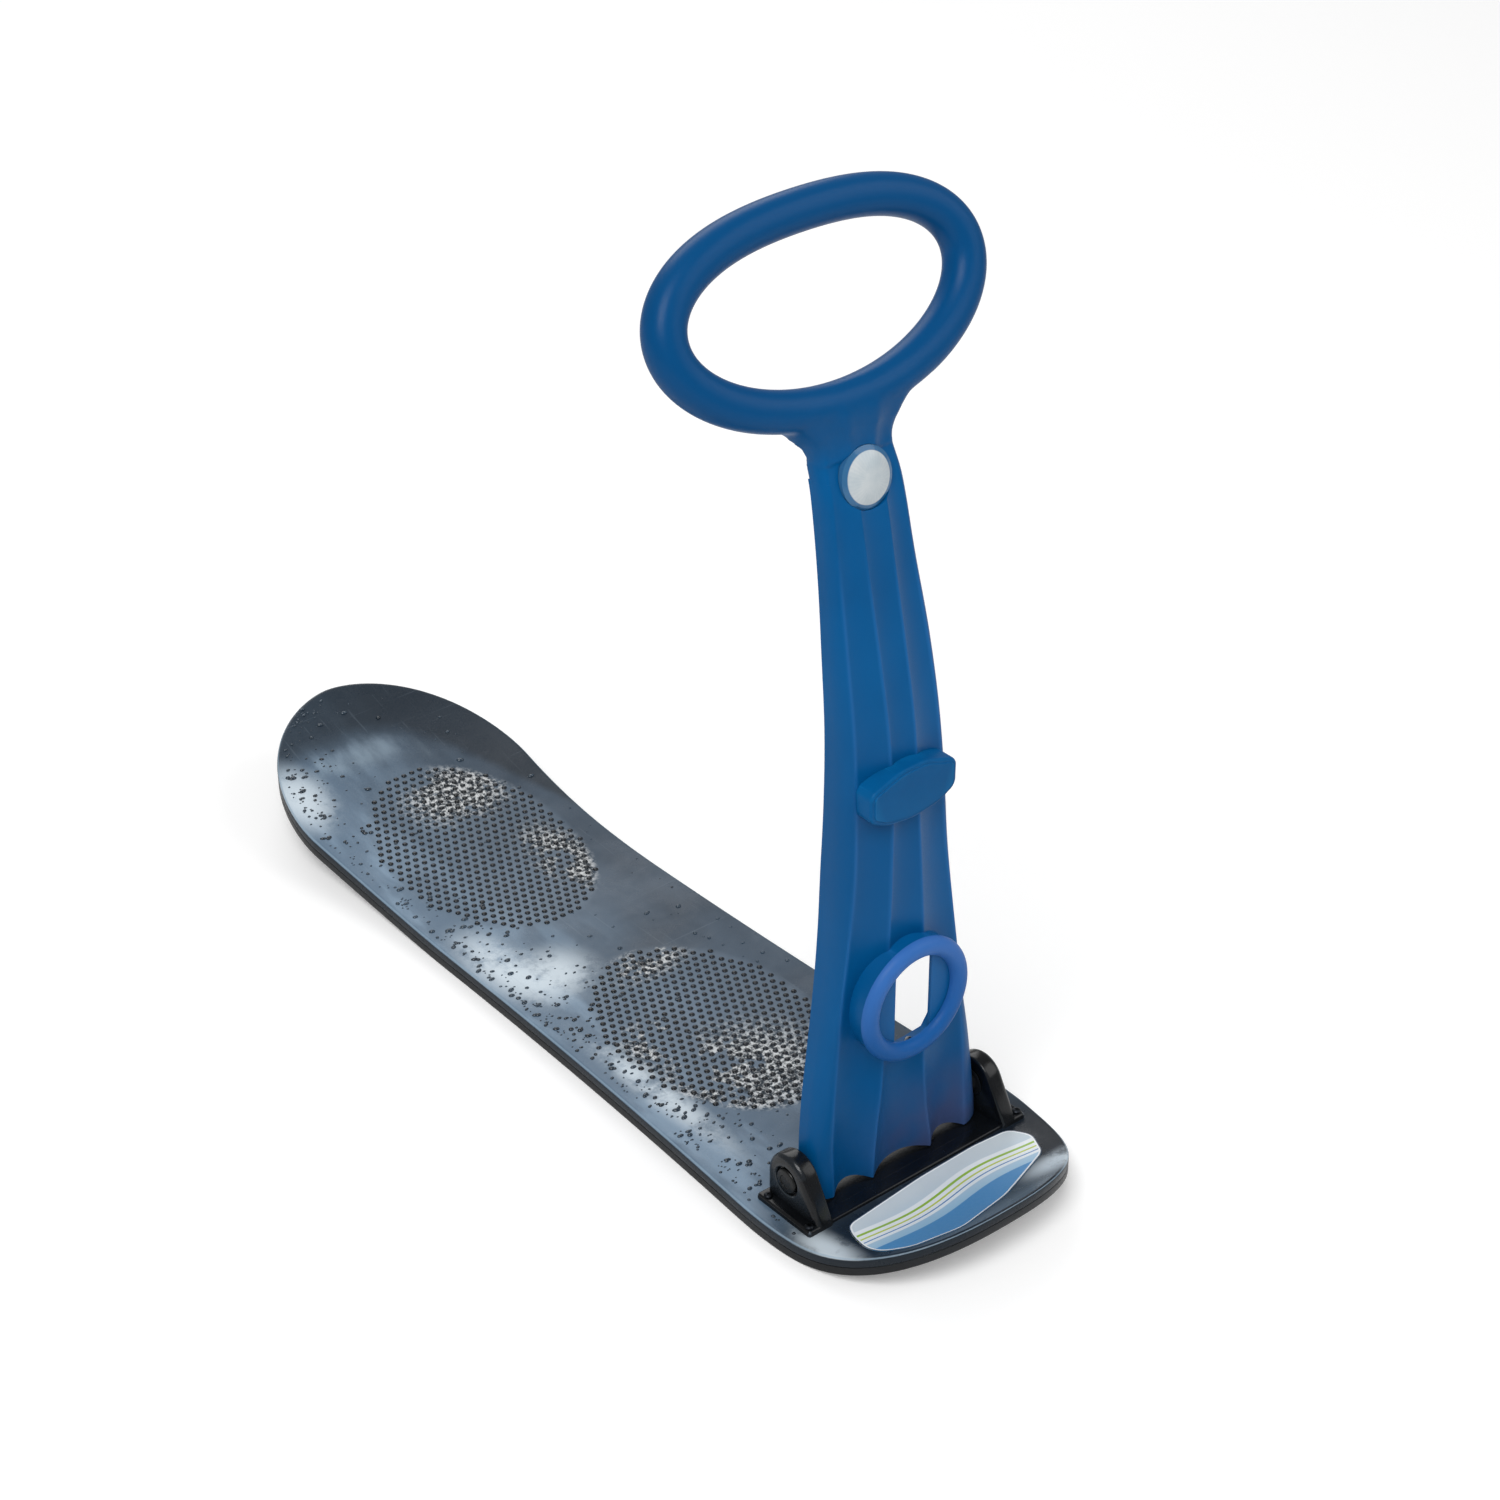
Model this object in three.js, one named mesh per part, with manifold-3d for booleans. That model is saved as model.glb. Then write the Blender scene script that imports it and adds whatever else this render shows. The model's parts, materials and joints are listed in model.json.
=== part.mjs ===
// Folding snow scooter: a snowboard-like deck with a fluted steering column and a ring grip that fold
// back onto it, and a push-button lamp in the column. Millimetres, +Z up, the nose towards -Y.
// The floor is z = 0 and the origin is the middle of the footprint.
import * as THREE from "three";
import { mergeVertices } from "three/addons/utils/BufferGeometryUtils.js";
import Module from "manifold-3d";

const wasm = await Module();
wasm.setup();

// Clearances
const seatGap = 0.3;
const overrun = 2;

// Facets round each kind of turned piece
const screwSides = 8;
const holeSides = 8;
const bossSides = 10;
const pinSides = 20;
const lensSides = 28;
const ringSides = 32;
const lampSides = 12;
const arcSteps = 4;
const roundSteps = 3;

// Board
const boardLength = 940;
const boardThickness = 17.3;
const noseHalfWidth = 144.3;
const waistHalfWidth = 113.9;
const tailHalfWidth = 141;
const tipHalfWidth = 6;
const noseRise = 34.5;
const tailRise = 63.6;
const upperEdge = 9;
const edgeRound = 3;
const edgeRoundShare = 0.3;
const deckWall = 3.2;
const baseWall = 4;
const ribWall = 2.4;
const ribOffset = 40;
const ribReachShare = 0.4;
const crossRibPlaceShares = [-0.28, -0.12, 0.05, 0.2, 0.32];
const grooveOffset = 60;
const grooveWidth = 14;
const grooveDepth = 1.6;
const grooveReachShare = 0.36;
const waistShare = 0.691;
const noseRiseShare = 0.118;
const tailRiseShare = 0.617;
const noseCapShare = 0.191;
const tailCapShare = 0.8315;
const noseRoundness = 2.49;
const tailRoundness = 1.78;
const boardStations = 32;

// Screws
const screwRadius = 2;
const screwHeadRadius = 3.6;
const screwHeadDepth = 2.2;
const screwCrownShare = 0.8;
const screwLength = 11;
const bossRadius = 5.2;
const baseScrewPlaceShares = [
  [-0.33, 0.6],
  [0.04, 0.62],
  [0.22, 0.62],
  [0.4, 0.5],
];

// Nose label: each corner's place across the board, and along it counted from the nose's tip
const noseY = -boardLength / 2;
const labelCorners = [
  [-84, 93],
  [-91, 80],
  [-97, 57],
  [-94, 42],
  [-78, 25],
  [-38, 11],
  [18, 22],
  [88, 52],
  [103, 79],
  [94, 98.5],
  [58, 102],
  [-2, 100.5],
];
const labelThickness = 0.4;
const labelCornerRound = 8;

// Hinge bracket and axle: places along the board are counted from the pin, and the pin's from the nose
const pinFromNose = 140;
const pinY = noseY + pinFromNose;
const pinZ = 44.5;
const earInner = 91;
const earOuter = 107;
const earRadius = 23;
const earBehindPin = 25;
const earAheadOfPin = 39;
const earRear = pinY + earBehindPin;
const earFront = pinY - earAheadOfPin;
const earBevel = 2.4;
const earRecessRadius = 13;
const earRecessDepth = 3.5;
const footOuter = 116;
const footDepth = 5;
const footBevel = 2;
const strapDepth = 3.2;
const frontStrapInset = 2;
const frontStrapWidth = 13;
const rearStrapWidth = 8;
const bracketScrewX = (earOuter + footOuter) / 2;
const frontScrewInset = 6;
const rearScrewInset = 9;
const axleRadius = 5;
const axleOverhang = 2.2;
const capRadius = 11;
const capDepth = 4.4;
const capCrownShare = 0.8;
const capShoulderShare = 0.9;

// Column: heights, half widths and front and rear faces, bottom to top
const columnTop = 640;
const columnFoot = 19;
const columnHalfWidth = 89;
const columnAheadOfPin = 18;
const columnFrontY = pinY - columnAheadOfPin;
const columnReach = 72;
const columnWall = 3;
const columnSlices = 20;
const crestDepth = 10;
const crestSetBack = 7;
const scallopHeight = 9;
const cheekFoot = 24.5;
const innerCrestX = 32;
const outerCrestX = 70;
const shoulderShare = 0.62;
const innerFlutePlaceShares = [0.4, 0.75];
const innerFlutePower = 2.2;
const outerFlutePlaceShares = [0.2, 0.5, 0.8];
const shoulderPlaceShares = [0.34, 0.67, 1];
const heightPower = 1.15;
const footEaseShare = 0.5;
const columnDepth = 38;
// Each row: height, half width, forward lean of the front face, depth, crests' places, flute depth
// and the outer crests' set-back.
const columnShares = [
  [0.03, 1.0, 0.0, 0.6, 0.97, 1.0, 1.0, 0.35],
  [0.094, 0.978, 0.03, 0.64, 0.84, 1.0, 0.72, 0.45],
  [0.163, 0.92, 0.035, 0.72, 0.7, 0.97, 0.45, 0.6],
  [0.234, 0.83, 0.038, 0.8, 0.64, 0.91, 0.36, 0.75],
  [0.313, 0.728, 0.04, 0.9, 0.6, 0.84, 0.3, 0.88],
  [0.391, 0.648, 0.048, 0.985, 0.54, 0.75, 0.27, 0.95],
  [0.469, 0.609, 0.071, 0.99, 0.47, 0.66, 0.25, 1.0],
  [0.5625, 0.58, 0.117, 0.91, 0.4, 0.615, 0.24, 1.0],
  [0.656, 0.542, 0.208, 0.84, 0.4, 0.585, 0.23, 0.9],
  [0.75, 0.515, 0.375, 0.71, 0.4, 0.55, 0.22, 0.8],
  [0.844, 0.462, 0.563, 0.64, 0.4, 0.5, 0.21, 0.75],
  [0.9375, 0.43, 0.753, 0.59, 0.39, 0.455, 0.2, 0.7],
  [1.0, 0.4, 0.935, 0.56, 0.34, 0.41, 0.2, 0.7],
];
const barrelRadius = 13;
const bushSleeveRadius = 8;
const bushSleeveLength = 18;
const bushFlangeRadius = 12;

// The handle is one moulding, held as five lengths: their names from the foot up, and where they meet
const lengthNames = ["column_foot", "column_lower", "column_waist", "column_head", "grip_ring"];
const lengthEndShares = [0.18, 0.4, 0.64, 0.875];

// Grip ring
const gripHalfWidth = 130.4;
const gripHalfHeight = 72.7;
const gripTubeRadius = 16.2;
const gripBehindPin = 94.3;
const gripY = pinY + gripBehindPin;
const gripAboveColumn = 88.1;
const gripZ = columnTop + gripAboveColumn;
const gripLeanAngle = (24.7 * Math.PI) / 180;
const gripWidthThirdShare = 0.0563;
const gripHeightSecondShare = 0.0495;
const gripHeightThirdShare = 0.0564;
const gripSegments = 44;
const gripSides = 12;
const neckDepth = 22;
const neckSetBack = 5;
const neckBevel = 3.5;
const neckHalfWidth = 35.5;
const neckSpread = 80;
const neckLow = 112;
const neckHigh = 66;
const neckInside = 8;
const neckDip = 20;
const neckRootShare = 0.3;
const neckFlareShare = 0.62;
const neckBulgeShare = 1.4;

// Tow-rope collar
const collarZ = 185.5;
const collarOuter = 54;
const collarInner = 38;
const collarProud = 17;
const collarRound = 7;
const collarPadProud = 9;
const collarPadTop = 50.5;
const collarPadFoot = 52;
const collarPadRun = 17;
const collarScrewLength = 8.5;
const collarScrewPlace = 43.2;
const slotHalfWidth = 18.6;
const slotHalfHeight = 42;

// Badge block
const badgeZ = 369.5;
const badgeAheadOfPin = 18;
const badgeFaceY = pinY - badgeAheadOfPin;
const badgeHalfWidth = 43;
const badgePeak = 25;
const badgeShoulder = 14.5;
const badgeSill = 9;
const badgeBow = 21.5;
const badgeCorner = 7;
const badgeBevel = 1.6;
const badgeBorder = 4;
const badgeRecess = 0.8;
const badgeSillShare = 0.6;
const badgeBowShare = 0.86;
const badgeRidgeShare = 0.3;

// Lamp: depths are measured in from the column's front face, along the lamp's own axis
const lampBelowTop = 30.2;
const lampZ = columnTop - lampBelowTop;
const lampTiltAngle = (13.5 * Math.PI) / 180;
const lensRadius = 23.6;
const lensProud = 6;
const lensWall = 1.8;
const lensFlangeRadius = 26.5;
const lensFlangeDepth = 1.8;
const lensFlangeStart = 6.6;
const lensTravel = 1.5;
const lensPostRadius = 2.2;
const caseHalfWidth = 29;
const caseUp = 22;
const caseDown = 66;
const caseRound = 6;
const caseFront = 10.4;
const caseBack = 20;
const caseWall = 2;
const caseTab = 15;
const boardHalf = 19;
const circuitFront = 12.2;
const circuitThickness = 1.6;
const switchHalf = 3;
const switchHeight = 2.2;
const ledRadius = 2.5;
const ledHeight = 5;
const ledRingRadius = 12;
const ledRedAngle = 210;
const ledGreenAngle = 90;
const ledBlueAngle = 330;
const cellRadius = 5.8;
const cellThickness = 4.6;
const cellPitch = 13.5;
const cellCount = 3;
const cellDrop = 47;
const contactThickness = 0.5;
const contactWidth = 7;
const coverHalfWidth = 24;
const coverUp = 34;
const coverDown = 63;
const coverThickness = 2;

const colours = {
  deck: [0x2b3136, 0.35],
  base: [0x15181b, 0.5],
  bracket: [0x101214, 0.45],
  steel: [0xa8abae, 0.3, 0.9],
  label: [0xc9dceb, 0.4],
  blue: [0x145591, 0.45],
  collar: [0x2f72b4, 0.45],
  badge: [0x055a8c, 0.5],
  lens: [0xd9e2e6, 0.2],
  bush: [0xd8d8d2, 0.5],
  black: [0x1c1d1f, 0.5],
  circuit: [0x1f6b3a, 0.5],
  red: [0xd32222, 0.3],
  green: [0x2fae3c, 0.3],
  lamp_blue: [0x2a6fd6, 0.3],
  brass: [0xc9a85a, 0.35, 0.8],
};

const scooter = new THREE.Group();
scooter.name = "snow_scooter";

// A closed geometry as a solid that booleans can work on, with its faces pointing out.
function solid(geometry) {
  const bare = new THREE.BufferGeometry();
  const source = geometry.index ? geometry.toNonIndexed() : geometry;
  bare.setAttribute("position", source.getAttribute("position").clone());
  const merged = mergeVertices(bare, 1e-4);
  const kept = [];
  const corner = merged.index.array;
  for (let i = 0; i < corner.length; i += 3) {
    const [a, b, c] = [corner[i], corner[i + 1], corner[i + 2]];
    if (a !== b && b !== c && c !== a) kept.push(a, b, c);
  }
  const build = (triVerts) =>
    new wasm.Manifold(
      new wasm.Mesh({ numProp: 3, vertProperties: merged.attributes.position.array, triVerts }),
    );
  const made = build(new Uint32Array(kept));
  return made.volume() < 0 ? build(new Uint32Array(kept.reverse())) : made;
}

// A solid's surface as a geometry.
function geometryOf(body) {
  const mesh = body.getMesh();
  const position = new Float32Array(mesh.numVert * 3);
  for (let i = 0; i < mesh.numVert; i += 1) {
    position.set(mesh.vertProperties.subarray(i * mesh.numProp, i * mesh.numProp + 3), i * 3);
  }
  const geometry = new THREE.BufferGeometry();
  geometry.setAttribute("position", new THREE.BufferAttribute(position, 3));
  geometry.setIndex(new THREE.BufferAttribute(new Uint32Array(mesh.triVerts), 1));
  geometry.computeVertexNormals();
  return geometry;
}

// Adds a named mesh with its own material.
function piece(name, body, colour, parent = scooter) {
  const [color, roughness, metalness = 0] = colours[colour];
  const material = new THREE.MeshStandardMaterial({ color, roughness, metalness, flatShading: true });
  const mesh = new THREE.Mesh(geometryOf(body), material);
  mesh.name = name;
  parent.add(mesh);
  return mesh;
}

// The triangles that close one ring of a loft, turned the way the ring runs or against it.
function capTriangles(ring, flat, along) {
  const contour = ring.map(flat);
  const triangles = THREE.ShapeUtils.triangulateShape(contour, []);
  const ringTurn = Math.sign(THREE.ShapeUtils.area(contour));
  return triangles.map(([a, b, c]) => {
    const turn = Math.sign(THREE.ShapeUtils.area([contour[a], contour[b], contour[c]]));
    return (turn === ringTurn) === along ? [a, b, c] : [a, c, b];
  });
}

// A solid through rings of equal length; flat gives a ring point's place in the plane of the caps.
function loft(rings, flat) {
  const count = rings[0].length;
  const position = rings.flat().flatMap((p) => p.toArray());
  const index = [];
  for (let r = 0; r + 1 < rings.length; r += 1) {
    for (let k = 0; k < count; k += 1) {
      const a = r * count + k;
      const b = r * count + ((k + 1) % count);
      index.push(a, b, b + count, a, b + count, a + count);
    }
  }
  const last = (rings.length - 1) * count;
  for (const triangle of capTriangles(rings[0], flat, false)) index.push(...triangle);
  for (const triangle of capTriangles(rings[rings.length - 1], flat, true)) {
    index.push(...triangle.map((k) => k + last));
  }
  const geometry = new THREE.BufferGeometry();
  geometry.setAttribute("position", new THREE.Float32BufferAttribute(position, 3));
  geometry.setIndex(index);
  return solid(geometry);
}

const inXZ = (p) => new THREE.Vector2(p.x, p.z);
const inXY = (p) => new THREE.Vector2(p.x, p.y);

// A box between two corners.
function box(low, high) {
  const size = high.map((v, i) => v - low[i]);
  const geometry = new THREE.BoxGeometry(...size);
  geometry.translate(...low.map((v, i) => v + size[i] / 2));
  return solid(geometry);
}

// A turned solid about the Y axis, from [radius, depth] pairs.
function turned(profile, segments = 32) {
  return solid(new THREE.LatheGeometry(profile.map(([r, y]) => new THREE.Vector2(r, y)), segments));
}

// A cylinder along Y between two depths.
function rod(radius, from, to, segments = 32) {
  return turned([[0, from], [radius, from], [radius, to], [0, to]], segments);
}

// Turned solids are made along Y: these stand them along +Z or +X.
const upright = (body) => body.rotate([90, 0, 0]);
const sideways = (body) => body.rotate([0, 0, -90]);

// A prism along X of an outline drawn in Y and Z.
function prismX(shape, from, to, bevel = 0) {
  const geometry = new THREE.ExtrudeGeometry(shape, {
    depth: to - from - 2 * bevel,
    bevelEnabled: bevel > 0,
    bevelThickness: bevel,
    bevelSize: bevel,
    bevelOffset: -bevel,
    bevelSegments: 2,
    curveSegments: 18,
  });
  geometry.translate(0, 0, from + bevel);
  const turn = new THREE.Matrix4().makeBasis(
    new THREE.Vector3(0, 1, 0),
    new THREE.Vector3(0, 0, 1),
    new THREE.Vector3(1, 0, 0),
  );
  return solid(geometry.applyMatrix4(turn));
}

// A prism along Y of an outline drawn in X and Z.
function prismY(shape, from, to, bevel = 0, curveSegments = 6) {
  const geometry = new THREE.ExtrudeGeometry(shape, {
    depth: to - from - 2 * bevel,
    bevelEnabled: bevel > 0,
    bevelThickness: bevel,
    bevelSize: bevel,
    bevelOffset: -bevel,
    bevelSegments: 2,
    curveSegments,
  });
  geometry.translate(0, 0, -to + bevel);
  return solid(geometry.rotateX(Math.PI / 2));
}

// A polygon whose corners are rounded by up to the given radius.
function roundedPolygon(points, radius) {
  const shape = new THREE.Shape();
  points.forEach((p, i) => {
    const before = points[(i + points.length - 1) % points.length];
    const after = points[(i + 1) % points.length];
    const towards = (q) => {
      const [dx, dy] = [q[0] - p[0], q[1] - p[1]];
      const share = Math.min(radius / Math.hypot(dx, dy), 0.45);
      return [p[0] + dx * share, p[1] + dy * share];
    };
    const start = towards(before);
    const end = towards(after);
    if (i === 0) shape.moveTo(...start);
    else shape.lineTo(...start);
    shape.quadraticCurveTo(p[0], p[1], ...end);
  });
  shape.closePath();
  return shape;
}

// A self-tapping screw whose head's outer face is at y = 0 and whose shank runs to +Y.
function screwBody(length = screwLength) {
  return turned(
    [
      [0, 0],
      [screwHeadRadius * screwCrownShare, 0],
      [screwHeadRadius, screwHeadDepth / 2],
      [screwHeadRadius, screwHeadDepth],
      [screwRadius, screwHeadDepth],
      [screwRadius, length - screwRadius],
      [0, length],
    ],
    screwSides,
  );
}

const clamp01 = (v) => Math.min(Math.max(v, 0), 1);

// Half the board's width at a share of its length counted from the nose.
function halfWidthAt(share) {
  const flare =
    share < waistShare
      ? (noseHalfWidth - waistHalfWidth) * ((waistShare - share) / waistShare) ** 2
      : (tailHalfWidth - waistHalfWidth) * ((share - waistShare) / (1 - waistShare)) ** 2;
  const nose = clamp01((noseCapShare - share) / noseCapShare);
  const tail = clamp01((share - tailCapShare) / (1 - tailCapShare));
  const noseCap = (1 - nose ** noseRoundness) ** (1 / noseRoundness);
  const tailCap = (1 - tail ** tailRoundness) ** (1 / tailRoundness);
  return (waistHalfWidth + flare) * noseCap * tailCap;
}

// How far the board's underside has curved up from the floor at a place along it.
function riseAt(y) {
  const share = y / boardLength + 0.5;
  const nose = clamp01((noseRiseShare - share) / noseRiseShare);
  const tail = clamp01((share - tailRiseShare) / (1 - tailRiseShare));
  return noseRise * nose ** 2 + tailRise * tail ** 2;
}

// A solid slice of the board between two heights above its underside, drawn in by inset all round.
// The upper long edges are rounded where round is given.
function boardSlab(low, high, inset, round = 0) {
  const rings = [];
  for (let i = 0; i <= boardStations; i += 1) {
    const share = (1 - Math.cos((Math.PI * i) / boardStations)) / 2;
    const y = (share - 0.5) * (boardLength - 2 * inset);
    const half = Math.max(halfWidthAt(share) - inset, tipHalfWidth);
    const fromTip = Math.min(share, 1 - share) * (boardLength - 2 * inset);
    const inward = Math.max(round - fromTip, 0);
    const top = high + riseAt(y) - (round - Math.sqrt(round ** 2 - inward ** 2));
    const bottom = low + riseAt(y);
    const place = (x, z) => new THREE.Vector3(x, y, z);
    const edge = [
      [half, bottom],
      [half, top - round],
      [half - edgeRoundShare * round, top - edgeRoundShare * round],
      [half - round, top],
    ].slice(0, round > 0 ? 4 : 2);
    const right = edge.map(([x, z]) => place(x, z));
    const left = edge.map(([x, z]) => place(-x, z)).reverse();
    rings.push([...right, ...left]);
  }
  return loft(rings, inXZ);
}

// A strip of the board's inside that follows its curve, between two places across and along it.
function boardStrip(fromX, toX, fromY, toY, low, high, steps = 16) {
  const rings = [];
  for (let i = 0; i <= steps; i += 1) {
    const y = fromY + ((toY - fromY) * i) / steps;
    const corners = [[fromX, low], [toX, low], [toX, high], [fromX, high]];
    rings.push(corners.map(([x, z]) => new THREE.Vector3(x, y, z + riseAt(y))));
  }
  return loft(rings, inXZ);
}

const partingHeight = boardThickness - upperEdge;
const sides = [[-1, "left"], [1, "right"]];
const bracketScrewPlaces = sides.flatMap(([side]) => [
  [side * bracketScrewX, earFront + frontScrewInset],
  [side * bracketScrewX, earRear - rearScrewInset],
]);
const baseScrewPlaces = baseScrewPlaceShares.flatMap(([along, across]) => {
  const y = along * boardLength;
  const x = across * halfWidthAt(along + 0.5);
  return [[-x, y], [x, y]];
});
const footTop = boardThickness + footDepth;

// The deck: the upper half of the board, a shell with ribs and screw bosses underneath.
function addDeckShell() {
  let deck = boardSlab(partingHeight, boardThickness, 0, edgeRound);
  const hollow = boardSlab(partingHeight - overrun, boardThickness - deckWall, deckWall);
  deck = deck.subtract(hollow);
  const ribTop = boardThickness - deckWall / 2;
  const reach = boardLength * ribReachShare;
  for (const [side] of sides) {
    const middle = side * ribOffset;
    const rib = boardStrip(middle - ribWall / 2, middle + ribWall / 2, -reach, reach, partingHeight, ribTop);
    deck = deck.add(rib);
  }
  for (const share of crossRibPlaceShares) {
    const y = share * boardLength;
    const half = halfWidthAt(share + 0.5) - deckWall / 2;
    deck = deck.add(boardStrip(-half, half, y - ribWall / 2, y + ribWall / 2, partingHeight, ribTop, 1));
  }
  for (const [x, y] of [...baseScrewPlaces, ...bracketScrewPlaces]) {
    const boss = upright(rod(bossRadius, partingHeight + riseAt(y), ribTop + riseAt(y), bossSides));
    deck = deck.add(boss.translate([x, y, 0]));
  }
  for (const [x, y] of baseScrewPlaces) {
    const tip = seatHeight(y) + screwLength + seatGap;
    deck = deck.subtract(upright(rod(screwRadius + seatGap, 0, tip, holeSides)).translate([x, y, 0]));
  }
  for (const [x, y] of bracketScrewPlaces) {
    const tip = footTop + screwHeadDepth - screwLength - seatGap;
    const hole = upright(rod(screwRadius + seatGap, tip, footTop + overrun, holeSides));
    deck = deck.subtract(hole.translate([x, y, 0]));
  }
  piece("deck_shell", deck, "deck");
}

// The height of a base screw's head face at a place along the board, sunk clear of the snow.
const seatHeight = (y) => riseAt(y) + baseWall / 4;

// The base: the lower half of the board, a tray with two running grooves underneath.
function addRunningBase() {
  const rim = partingHeight - seatGap;
  let base = boardSlab(0, rim, 0);
  base = base.subtract(boardSlab(baseWall, rim + overrun, deckWall));
  const reach = boardLength * grooveReachShare;
  for (const [side] of sides) {
    const middle = side * grooveOffset;
    const [low, high] = [middle - grooveWidth / 2, middle + grooveWidth / 2];
    base = base.subtract(boardStrip(low, high, -reach, reach, -overrun, grooveDepth));
  }
  for (const [x, y] of baseScrewPlaces) {
    const boss = upright(rod(bossRadius + baseWall / 2, baseWall / 2 + riseAt(y), rim + riseAt(y), bossSides));
    base = base.add(boss.translate([x, y, 0]));
    const head = upright(rod(screwHeadRadius + seatGap, -overrun, seatHeight(y) + screwHeadDepth + seatGap, bossSides));
    const shank = upright(rod(screwRadius + seatGap, 0, boardThickness + riseAt(y), holeSides));
    base = base.subtract(head.add(shank).translate([x, y, 0]));
  }
  piece("running_base", base, "base");
  baseScrewPlaces.forEach(([x, y], i) => {
    const screw = upright(screwBody()).translate([x, y, seatHeight(y)]);
    piece("base_screw_" + (i + 1), screw, "steel");
  });
}

// The printed label on the nose: a thin sheet that follows the deck.
function addNoseLabel() {
  const outline = roundedPolygon(labelCorners.map(([x, run]) => [x, noseY + run]), labelCornerRound);
  const low = boardThickness + seatGap;
  const sheet = boardSlab(low, low + labelThickness, 0);
  const upwards = new THREE.ExtrudeGeometry(outline, {
    depth: boardThickness + noseRise + overrun,
    bevelEnabled: false,
    curveSegments: 4,
  });
  piece("nose_label", sheet.intersect(solid(upwards)), "label");
}

// An ear's outline seen from the side: a round head about the pin, an upright back and a front leg
// that runs at a tangent down to the foot.
function earOutline() {
  const [footY, footZ] = [earFront - pinY, footTop - pinZ];
  const lean = Math.atan2(footZ, footY) + 2 * Math.PI;
  const tangent = lean - Math.acos(earRadius / Math.hypot(footY, footZ));
  const shape = new THREE.Shape();
  shape.moveTo(earFront, boardThickness - overrun);
  shape.lineTo(pinY + earRadius, boardThickness - overrun);
  shape.absarc(pinY, pinZ, earRadius, 0, tangent, false);
  shape.lineTo(earFront, footTop);
  shape.closePath();
  return shape;
}

// The hinge bracket: two ears on feet, joined by a strap in front of the column and one behind it.
function addHingeBracket() {
  const under = boardThickness - overrun;
  const strapTop = boardThickness + strapDepth;
  const frontStrap = earFront + frontStrapInset;
  let bracket = box([-earInner, frontStrap, under], [earInner, frontStrap + frontStrapWidth, strapTop]);
  bracket = bracket.add(box([-earInner, earRear - rearStrapWidth, under], [earInner, earRear, strapTop]));
  for (const [side] of sides) {
    const [low, high] = side > 0 ? [earInner, earOuter] : [-earOuter, -earInner];
    let ear = prismX(earOutline(), low, high, earBevel);
    const footMiddle = side * ((earInner + footOuter) / 2);
    const footHalf = (footOuter - earInner) / 2;
    const foot = new THREE.Shape();
    foot.moveTo(footMiddle - footHalf, under);
    foot.lineTo(footMiddle + footHalf, under);
    foot.lineTo(footMiddle + footHalf, footTop);
    foot.lineTo(footMiddle - footHalf, footTop);
    foot.closePath();
    ear = ear.add(prismY(foot, earFront, earRear, footBevel));
    const recess = sideways(rod(earRecessRadius, earOuter - earRecessDepth, earOuter + overrun, pinSides));
    const bore = sideways(rod(axleRadius + seatGap, earInner - overrun, earOuter + overrun, pinSides));
    const cut = recess.add(bore).translate([0, pinY, pinZ]);
    bracket = bracket.add(ear).subtract(side > 0 ? cut : cut.mirror([1, 0, 0]));
  }
  for (const [x, y] of bracketScrewPlaces) {
    const hole = upright(rod(screwRadius + seatGap, under - overrun, footTop + overrun, holeSides));
    bracket = bracket.subtract(hole.translate([x, y, 0]));
    const seat = upright(rod(screwHeadRadius + 2 * seatGap, footTop + seatGap, footTop + pinZ, bossSides));
    bracket = bracket.subtract(seat.translate([x, y, 0]));
  }
  bracket = bracket.subtract(boardSlab(0, boardThickness + seatGap, 0));
  piece("hinge_bracket", bracket, "bracket");
  bracketScrewPlaces.forEach(([x, y], i) => {
    const screw = screwBody().rotate([-90, 0, 0]).translate([x, y, footTop + screwHeadDepth + seatGap]);
    piece("bracket_screw_" + (i + 1), screw, "steel");
  });
}

// The steel axle through both ears, and the push-on cap on each of its ends.
function addAxle() {
  const recessFloor = earOuter - earRecessDepth;
  const reach = recessFloor + axleOverhang;
  const axle = sideways(rod(axleRadius, -reach, reach, pinSides)).translate([0, pinY, pinZ]);
  piece("hinge_axle", axle, "steel");
  const floor = recessFloor + seatGap;
  const cap = sideways(
    turned(
      [
        [axleRadius + seatGap, floor],
        [capRadius, floor],
        [capRadius, floor + capDepth / 2],
        [capRadius * capCrownShare, floor + capDepth * capShoulderShare],
        [0, floor + capDepth],
        [0, reach + seatGap],
        [axleRadius + seatGap, reach + seatGap],
        [axleRadius + seatGap, floor],
      ],
      pinSides,
    ),
  ).translate([0, pinY, pinZ]);
  piece("axle_cap_right", cap, "black");
  piece("axle_cap_left", cap.mirror([1, 0, 0]), "black");
}

// The column's sizes at a height, read smoothly from its rows.
const columnCurve = new THREE.CubicInterpolant(
  columnShares.map((row) => row[0]),
  columnShares.flatMap((row) => row.slice(1)),
  7,
);
function columnAt(z) {
  const low = columnShares[0][0];
  const [half, lean, depth, inner, outer, flute, setBack] = columnCurve.evaluate(
    Math.min(Math.max(z / columnTop, low), 1),
  );
  return {
    half: half * columnHalfWidth,
    front: columnFrontY + lean * columnReach,
    depth: depth * columnDepth,
    inner: inner * innerCrestX,
    outer: outer * outerCrestX,
    flute: flute * crestDepth,
    setBack: setBack * crestSetBack,
  };
}

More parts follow.
